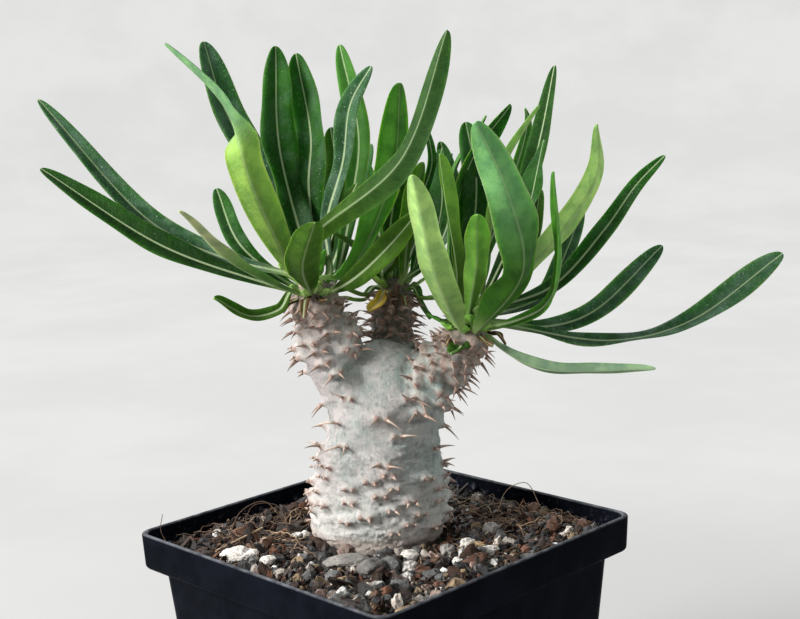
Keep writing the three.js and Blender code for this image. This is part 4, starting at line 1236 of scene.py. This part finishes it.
def grain_tree():
    inputs = [("Ground", GEOMETRY, None), ("Where", STRING, "open"), ("Per m2", FLOAT, 1e5),
              ("Apart", FLOAT, 0.001), ("Least", FLOAT, 0.001), ("Most", FLOAT, 0.002), ("Flat", FLOAT, 0.7),
              ("Long", FLOAT, 1.3), ("Sunk", FLOAT, 0.1), ("Facets", INTEGER, 1), ("Jagged", FLOAT, 0.3),
              ("Tilt", FLOAT, 3.14), ("Seed", INTEGER, 1), ("Finish", MATERIAL, None)]
    tree, r, entry = group_tree("GeometryNodeTree", "grains", inputs, [("Geometry", GEOMETRY)])
    give = entry.outputs
    spots = r.add("GeometryNodeDistributePointsOnFaces", {
        "Mesh": give["Ground"], "Distance Min": give["Apart"], "Density Max": give["Per m2"],
        "Density Factor": named(r, give["Where"]), "Seed": give["Seed"]}, distribute_method="POISSON")
    skew = r.math("POWER", draw_between(r, 0.0, 1.0, give["Seed"]), 2.2)
    spread = r.add("ShaderNodeMapRange", {"Value": skew, "To Min": give["Least"], "To Max": give["Most"]})
    points = keep(r, spots.outputs["Points"], "size", spread.outputs[0])
    for label, seed in (("tone", 71), ("shade", 72)):
        points = keep(r, points, label, draw_between(r, 0.0, 1.0, seed))
    size = named(r, "size")
    wide = r.times(size, draw_between(r, 0.75, 1.05, 73))
    shape = r.join(r.times(size, give["Long"]), wide, r.times(size, give["Flat"]))
    lean, lurch = (r.times(draw_between(r, -1.0, 1.0, seed), give["Tilt"]) for seed in (74, 75))
    turn = r.join(lean, r.times(lurch, -1.0), draw_between(r, 0.0, 6.28, 76))
    ball = r.add("GeometryNodeMeshIcoSphere", {"Radius": 0.5, "Subdivisions": give["Facets"]}).outputs[0]
    real = on_points(r, points, ball, turn, shape)
    at = r.add("GeometryNodeInputPosition").outputs[0]
    scaled = r.vector_math("SCALE", {0: at, "Scale": r.math("DIVIDE", 1.0, size)})
    push = r.add("ShaderNodeTexNoise", {"Vector": scaled, "Scale": 1.7, "Detail": 2.0}).outputs["Color"]
    push = r.vector_math("SUBTRACT", {0: push, 1: (0.5, 0.5, 0.5)})
    push = r.vector_math("SCALE", {0: push, "Scale": r.times(size, give["Jagged"])})
    sink = r.join(0.0, 0.0, r.times(size, r.times(give["Sunk"], -1.0)))
    inputs = {"Geometry": real, "Offset": r.vector_math("ADD", {0: push, 1: sink})}
    dressed(r, r.add("GeometryNodeSetPosition", inputs).outputs[0], give["Finish"])
    return tree


# %% [markdown]
# Each grain draws its own colour from a short list of what is in the mix: black peat, bark,
# lava, baked clay, tan and grey gravel, pumice and a few white quartz chips. Fine crumbs are
# nearly all dark, and the larger the grains, the more of them are mineral.

# %% Grain finishes
PEAT, BARK, HUSK = (0.009, 0.006, 0.004), (0.040, 0.019, 0.011), (0.024, 0.013, 0.008)
LAVA, CLAY, SPLINTER = (0.042, 0.041, 0.044), (0.15, 0.062, 0.032), (0.16, 0.08, 0.045)
TAN, GRAVEL, PINK = (0.28, 0.20, 0.12), (0.13, 0.132, 0.13), (0.36, 0.25, 0.21)
PUMICE, QUARTZ = (0.55, 0.49, 0.43), (0.82, 0.81, 0.78)


def grain_finish(name, shares):
    """shares lists (share of the grains, colour), adding up to 1."""
    made, r, shader = material(name)
    stops, start = [], 0.0
    for share, color in shares:
        stops.append((start, color))
        start += share
    where, shade = r.place(), r.mark("shade")
    veined = r.remap(r.noise(where, 1.8, 4.0, 0.65), 0.3, 0.7, 0.42, 1.12)
    veined = r.times(veined, r.remap(shade, 0.0, 1.0, 0.7, 1.25))
    dirt = r.remap(r.noise(where, 1.1, 5.0, 0.7), 0.52, 0.68, 0.0, 0.8)
    color = r.shaded(r.ramp(r.mark("tone"), stops, "CONSTANT"), veined)
    color = r.stained(color, [(dirt, (0.03, 0.02, 0.013))])
    r.feed(shader, {"Base Color": color, "Roughness": r.remap(shade, 0.0, 1.0, 0.6, 0.95),
                    "Normal": r.bump(r.noise(where, 4.0, 4.0), 0.2, 0.7)})
    return made


GRAINS = grain_tree()
LAYERS = [
    ("crumbs", [(0.48, PEAT), (0.28, BARK), (0.12, LAVA), (0.05, TAN), (0.04, CLAY), (0.03, GRAVEL)],
     dict(Where="open", Per_m2=1.3e6, Apart=0.00055, Least=0.0006, Most=0.0022, Flat=0.7, Long=1.5,
          Sunk=-0.1, Facets=1, Jagged=0.8, Seed=3)),
    ("grit", [(0.16, BARK), (0.20, LAVA), (0.17, GRAVEL), (0.15, TAN), (0.09, CLAY), (0.06, PINK),
              (0.11, PUMICE), (0.06, QUARTZ)],
     dict(Where="gritty", Per_m2=3.0e5, Apart=0.0014, Least=0.0011, Most=0.0042, Flat=0.7, Long=1.35,
          Sunk=-0.15, Facets=2, Jagged=1.0, Seed=8)),
    ("bark_chips", [(0.26, BARK), (0.34, HUSK), (0.28, PEAT), (0.06, CLAY), (0.06, SPLINTER)],
     dict(Where="barky", Per_m2=3.0e5, Apart=0.0012, Least=0.0011, Most=0.0038, Flat=0.35, Long=2.4,
          Sunk=-0.2, Facets=2, Jagged=0.6, Tilt=1.0, Seed=5)),
]
for name, shares, facts in LAYERS:
    ground = soil.copy()
    ground.parent = None
    bpy.context.scene.collection.objects.link(ground)
    layer = grown(name, ground, GRAINS, Finish=grain_finish(name, shares), **facts)
    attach(layer, "root")

# %% [markdown]
# ## Loose stones
#
# Three stones lie on top of the mix: a flat grey one, a dark one and a pale lump of pumice. Nine
# pebbles of pumice, sandy and grey rock lie among them. Each starts as a fine ball, for the three
# stones at the size of their solids, and is worn into shape with a broad and a fine noise.

# %% Stones
# Name, place in the plant's frame, size, turn, finish, and depth of the broad and the fine noise
STONES = [
    ("stone_flat", (-9.5, -19), (12, 8, 3.4), 8, "stone_grey", 0.22, 0.05),
    ("stone_dark", (-3.5, -26), (7.4, 6.2, 5.0), 40, "stone_dark", 0.25, 0.06),
    ("pumice_lump", (-36, -12.5), (9.6, 6, 4.6), -12, "pumice", 0.34, 0.10),
    ("pebble_1", (5.7, -17.9), (4.6, 4.1, 3.8), 20, "pumice", 0.3, 0.08),
    ("pebble_2", (5.5, -24.1), (4.2, 3.6, 3.1), 70, "pumice", 0.3, 0.08),
    ("pebble_3", (17.4, -21.6), (3.1, 2.6, 2.6), 10, "pumice", 0.2, 0.06),
    ("pebble_4", (-29, -14.6), (4.3, 3.6, 2.6), 30, "pumice", 0.2, 0.06),
    ("pebble_5", (25, -15.6), (6, 3.4, 2.9), 25, "pumice", 0.35, 0.1),
    ("pebble_6", (20.3, -10.8), (4.3, 3.6, 3.6), 60, "pumice", 0.3, 0.08),
    ("pebble_7", (22.8, -12.6), (3.8, 3.4, 3.1), 15, "sandy", 0.2, 0.05),
    ("pebble_8", (15.2, -14.1), (4.3, 3.6, 3.4), 80, "stone_grey", 0.3, 0.06),
    ("pebble_9", (27, -1.2), (4.3, 3.8, 4.3), 40, "stone_grey", 0.25, 0.06),
]
STONE_RISE, STONE_STEPS = 0.42, 5


def stone_finish(name, first, second, grain, pits):
    made, r, shader = material(name, Roughness=0.85)
    where = r.place()
    hollow = r.remap(r.noise(where, 1.6, 3.0), 0.38, 0.5, pits, 0.0)
    dots = speckle(r, where, 1.5, 0.3, 0.3)
    color = r.stained(mottle(r, where, 0.35, first, second), [(dots, grain), (hollow, (0.10, 0.08, 0.065))])
    r.feed(shader, {"Base Color": color, "Normal": r.bump(r.noise(where, 1.8, 6.0, 0.7), 0.35, 0.7)})
    return made


def worn_stone(name, at, size, turn, slot, broad, fine, finish):
    ball = bpy.data.meshes.new(name)
    shape = bmesh.new()
    bmesh.ops.create_icosphere(shape, subdivisions=STONE_STEPS, radius=0.5)
    seed = len(name)
    for vertex in shape.verts:
        way = vertex.co.normalized()
        swelling = broad * noise.noise(way * 1.6 + Vector((seed, 3, 1)))
        swelling += fine * noise.noise(way * 7 + Vector((1, seed, 5)))
        vertex.co = way * 0.5 * (1 + swelling) * (0.92 + 0.08 * abs(way.x * way.y))
    shape.to_mesh(ball)
    shape.free()
    centre = in_pot([(*at, 0)])[0] / MM
    centre[2] = SOIL_TOP + STONE_RISE * size[2]
    spin = Matrix.Rotation(math.radians(turn + PLANT_TURN), 4, "Z")
    ball.transform(Matrix.Scale(MM, 4) @ Matrix.Translation(centre) @ spin @ Matrix.Diagonal((*size, 1)))
    ball.materials.append(finish)
    ball.shade_smooth()
    made = placed(name + "_worn", ball)
    if not name.startswith("pebble"):
        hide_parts(name)
    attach(made, "root")


STONE_FINISHES = {name: stone_finish(name, *facts) for name, facts in {
    "stone_grey": ((0.22, 0.21, 0.20), (0.32, 0.30, 0.28), (0.42, 0.40, 0.36), 0.5),
    "stone_dark": ((0.10, 0.098, 0.095), (0.17, 0.163, 0.155), (0.24, 0.23, 0.22), 0.4),
    "sandy": ((0.50, 0.36, 0.17), (0.36, 0.24, 0.11), (0.6, 0.5, 0.3), 0.4),
    "pumice": ((0.60, 0.57, 0.53), (0.72, 0.69, 0.65), (0.5, 0.44, 0.36), 0.55),
}.items()}
for facts in STONES:
    worn_stone(*facts, STONE_FINISHES[facts[4]])
print("stones:", len(STONES))

# %% [markdown]
# ## Fibres and rootlets
#
# Coir fibres and dead rootlets lie over the mix, most of them left and right of the stem, and a few
# arch up. The dry foot of an old flower stalk on the middle arm is a strand too, only thicker. A
# strand is a chain of edges. The node tree turns each chain into a curve, gives it a round section,
# and realizes it as a thin tube.

# %% Strand tree


def strand_tree():
    inputs = [("Chains", GEOMETRY, None), ("Sides", INTEGER, 5), ("Finish", MATERIAL, None)]
    tree, r, entry = group_tree("GeometryNodeTree", "strands", inputs, [("Geometry", GEOMETRY)])
    give = entry.outputs
    curves = r.add("GeometryNodeMeshToCurve", {"Mesh": give["Chains"]}).outputs[0]
    ring = r.add("GeometryNodeCurvePrimitiveCircle", {"Resolution": give["Sides"], "Radius": 1.0}).outputs[0]
    tube = r.add("GeometryNodeCurveToMesh", {
        "Curve": curves, "Profile Curve": ring, "Scale": named(r, "girth"), "Fill Caps": True}).outputs[0]
    real = r.add("GeometryNodeRealizeInstances", {"Geometry": tube}).outputs[0]
    dressed(r, real, give["Finish"])
    return tree


def strand_finish():
    made, r, shader = material("fibre", Roughness=0.8)
    tones = [(0.0, (0.04, 0.02, 0.011)), (0.7, (0.13, 0.07, 0.036)), (1.0, (0.48, 0.35, 0.22))]
    stain = r.remap(r.noise(r.place(), 1.2, 3.0), 0.4, 0.7, 0.0, 0.5)
    r.feed(shader, {"Base Color": r.stained(r.ramp(r.mark("tone"), tones), [(stain, (0.10, 0.06, 0.035))])})
    return made


# Where strands lie, in the plant's frame: middle, half spread across and deep, how many, shortest
# and longest, how high they arch, and thinnest and thickest
TANGLES = [
    ((-26, 6), (15, 12), 110, (6, 22), 1.6, (0.07, 0.20)),
    ((34, 11), (12, 7), 110, (6, 20), 1.8, (0.07, 0.18)),
    ((0, -22), (34, 16), 34, (4, 12), 0.6, (0.07, 0.16)),
    ((24, -6), (16, 14), 24, (5, 16), 0.9, (0.08, 0.18)),
]

# Single strands, in the plant's frame over the soil: where each passes, its thickness and tone
SINGLE_STEPS = 20
SINGLES = [
    ([(-42.5, -7, 1.4), (-31.5, 3.5, 3.4)], 0.34, 0.95),
    ([(-40, 2, 2), (-37, 5, 7.5), (-31, 8, 9), (-26, 6, 4)], 0.13, 0.35),
    ([(-37, 4, 2), (-34, 8, 8), (-28, 9, 7.5), (-25, 4, 3)], 0.10, 0.2),
    ([(-53, -8, 2), (-56, -6, 7), (-55.5, -5, 11)], 0.09, 0.1),
    ([(30, 12, 2), (33, 15, 7), (38, 14, 9), (41, 9, 4)], 0.11, 0.9),
    ([(24, 14, 2), (27, 9, 5), (33, 7, 5.5), (36, 11, 2)], 0.11, 0.85),
]

# How much of its bend a strand keeps at each step, how much is drawn anew, and its fewest points
BEND_KEPT, BEND_DRAWN, FEWEST_POINTS = 0.8, 0.16, 4


def wandering_strands():
    """Strands that wander over the soil, and end at the pot's wall or at the stem."""
    draw = random.Random(21)
    made = []
    for (x0, y0), (across, deep), count, (short, long), arch, (thin, thick) in TANGLES:
        for _ in range(count):
            x, y = x0 + across * draw.uniform(-1, 1), y0 + deep * draw.uniform(-1, 1)
            heading, bend = draw.uniform(0, 2 * math.pi), draw.uniform(-0.3, 0.3)
            length, girth, tone = draw.uniform(short, long), draw.uniform(thin, thick), draw.random()
            steps = max(6, int(length))
            rise = arch * draw.uniform(0.2, 1.0)
            path = []
            for k in range(steps + 1):
                bend = BEND_KEPT * bend + draw.uniform(-BEND_DRAWN, BEND_DRAWN)
                heading += bend
                x, y = x + math.cos(heading) * length / steps, y + math.sin(heading) * length / steps
                px, py, _ = in_pot([(x, y, 0)])[0] / MM
                inside = max(abs(px), abs(py)) < TOP_HALF - 0.8
                clear = math.hypot(x - TRUNK[0], y - TRUNK[1]) > TRUNK[3] + 0.6
                if not (inside and clear):
                    break
                lift = rise * math.sin(math.pi * k / steps) + 0.9 + 0.25 * math.sin(1.9 * k)
                path.append((px, py, SOIL_TOP + float(swell(px, py)) + lift))
            if len(path) >= FEWEST_POINTS:
                made.append((path, girth, tone))
    return made


def single_strand(passes, girth, tone):
    course = curve_at(passes, np.linspace(0, 1, SINGLE_STEPS))
    path = in_pot(course * (1, 1, 0)) / MM
    path[:, 2] = SOIL_TOP + course[:, 2]
    return path.tolist(), girth, tone


def chains(name, strands):
    """Edges along each strand, in millimetres, with marks for its thickness and tone."""
    spots, edges, girths, tones = [], [], [], []
    for path, girth, tone in strands:
        first = len(spots)
        spots += path
        edges += [(first + k, first + k + 1) for k in range(len(path) - 1)]
        girths += [girth * MM] * len(path)
        tones += [tone] * len(path)
    return mesh_object(name, np.array(spots) * MM, [], marks={"girth": girths, "tone": tones}, edges=edges)


def strand_piece(name, strands, sides):
    piece = grown(name, chains(name + "_chains", strands), STRANDS, Sides=sides, Finish=FIBRE)
    piece.data.shade_smooth()
    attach(piece, "root")


STRANDS, FIBRE = strand_tree(), strand_finish()
strand_piece("fibres", wandering_strands() + [single_strand(*facts) for facts in SINGLES], 5)
stalk = in_pot([(5.2, 11.6, 48), (5.0, 11.0, 54), (5.8, 9.8, 60)]) / MM
strand_piece("dry_stalk", [(stalk.tolist(), 0.9, 0.1)], 8)

# %% [markdown]
# ## Studio
#
# The floor is a wide pale disc that curves up into a wall all round, so no horizon shows from any
# side. It glows a little by itself, as a lit cloth does, which keeps it even and fills the shadows.
# Only round the pot is it plain matt paper, so that the pot's own shadow shows. One large soft
# light stands at the left, one behind shines through the leaves, and a pale sky closes the top.

# %% Floor, lights and sky
# The bowl in metres: how far its floor is flat, the radius of its curve, and its sides
FLAT_REACH, CURVE_RADIUS, BOWL_SIDES = 1.2, 0.8, 96

# The bowl glows less toward the front right, from one depth to another in millimetres
FRONT_START, FRONT_FALL = 0, -900

# How far from the pot's middle the matt paper reaches, in millimetres
MATT_REACH = 150


def studio_bowl():
    outline = [(0.02, 0), (0.5, 0), (FLAT_REACH, 0)]
    for lean in np.radians(range(10, 91, 10)):
        outline.append((FLAT_REACH + CURVE_RADIUS * math.sin(lean), CURVE_RADIUS * (1 - math.cos(lean))))
    outline.append((FLAT_REACH + CURVE_RADIUS, 2 * CURVE_RADIUS))
    rings = [at_height(circle(radius, BOWL_SIDES), z) for radius, z in outline]
    faces = ring_faces(len(rings), BOWL_SIDES)[:-1]
    made, r, shader = material("studio", **{
        "Roughness": 0.9, "Specular IOR Level": 0.0, "Emission Strength": 0.77})
    where = r.place()
    across, deep = r.add("ShaderNodeSeparateXYZ", {"Vector": where}).outputs[:2]
    front = r.remap(r.math("MULTIPLY_ADD", across, -0.6, deep), FRONT_FALL, FRONT_START, 0.5, 0.0)
    away = r.vector_math("LENGTH", {0: where}, "Value")
    near = r.remap(away, MATT_REACH, 2.4 * MATT_REACH, 1.0, 0.0)
    glow = mottle(r, where, 0.006, (1.0, 1.0, 0.985), (0.93, 0.94, 0.925))
    glow = r.stained(glow, [(front, (0.05, 0.05, 0.05)), (r.times(near, 0.8), (0, 0, 0))])
    paper = r.mix(near, (0.03, 0.03, 0.03, 1), (0.34, 0.34, 0.335, 1))
    r.feed(shader, {"Base Color": paper, "Emission Color": glow})
    bowl = mesh_object("studio_bowl", np.vstack(rings), faces, made)
    bowl.data.flip_normals()


def soft_light(name, at, toward, size, power, color):
    lamp = bpy.data.lights.new(name, "AREA")
    lamp.shape, lamp.size, lamp.energy, lamp.color = "DISK", size, power, color
    spot, aim = (Vector(row) for row in in_pot([at, toward]))
    turn = (aim - spot).to_track_quat("-Z", "Y").to_matrix().to_4x4()
    placed(name, lamp).matrix_world = Matrix.Translation(spot) @ turn


def sky(color, strength):
    world = bpy.data.worlds.new("sky")
    world.use_nodes = True
    background = world.node_tree.nodes["Background"]
    background.inputs["Color"].default_value = (*color, 1)
    background.inputs["Strength"].default_value = strength
    bpy.context.scene.world = world


studio_bowl()
soft_light("window_light", (-850, -330, 520), (0, 0, 30), 0.5, 20, (1.0, 0.985, 0.96))
soft_light("back_light", (-250, 800, 800), (0, 0, 60), 0.7, 9, (1.0, 1.0, 1.0))
sky((0.93, 0.96, 1.0), 0.4)
bpy.context.scene.view_settings.view_transform = "Standard"
print("studio: bowl, two lights and a sky")
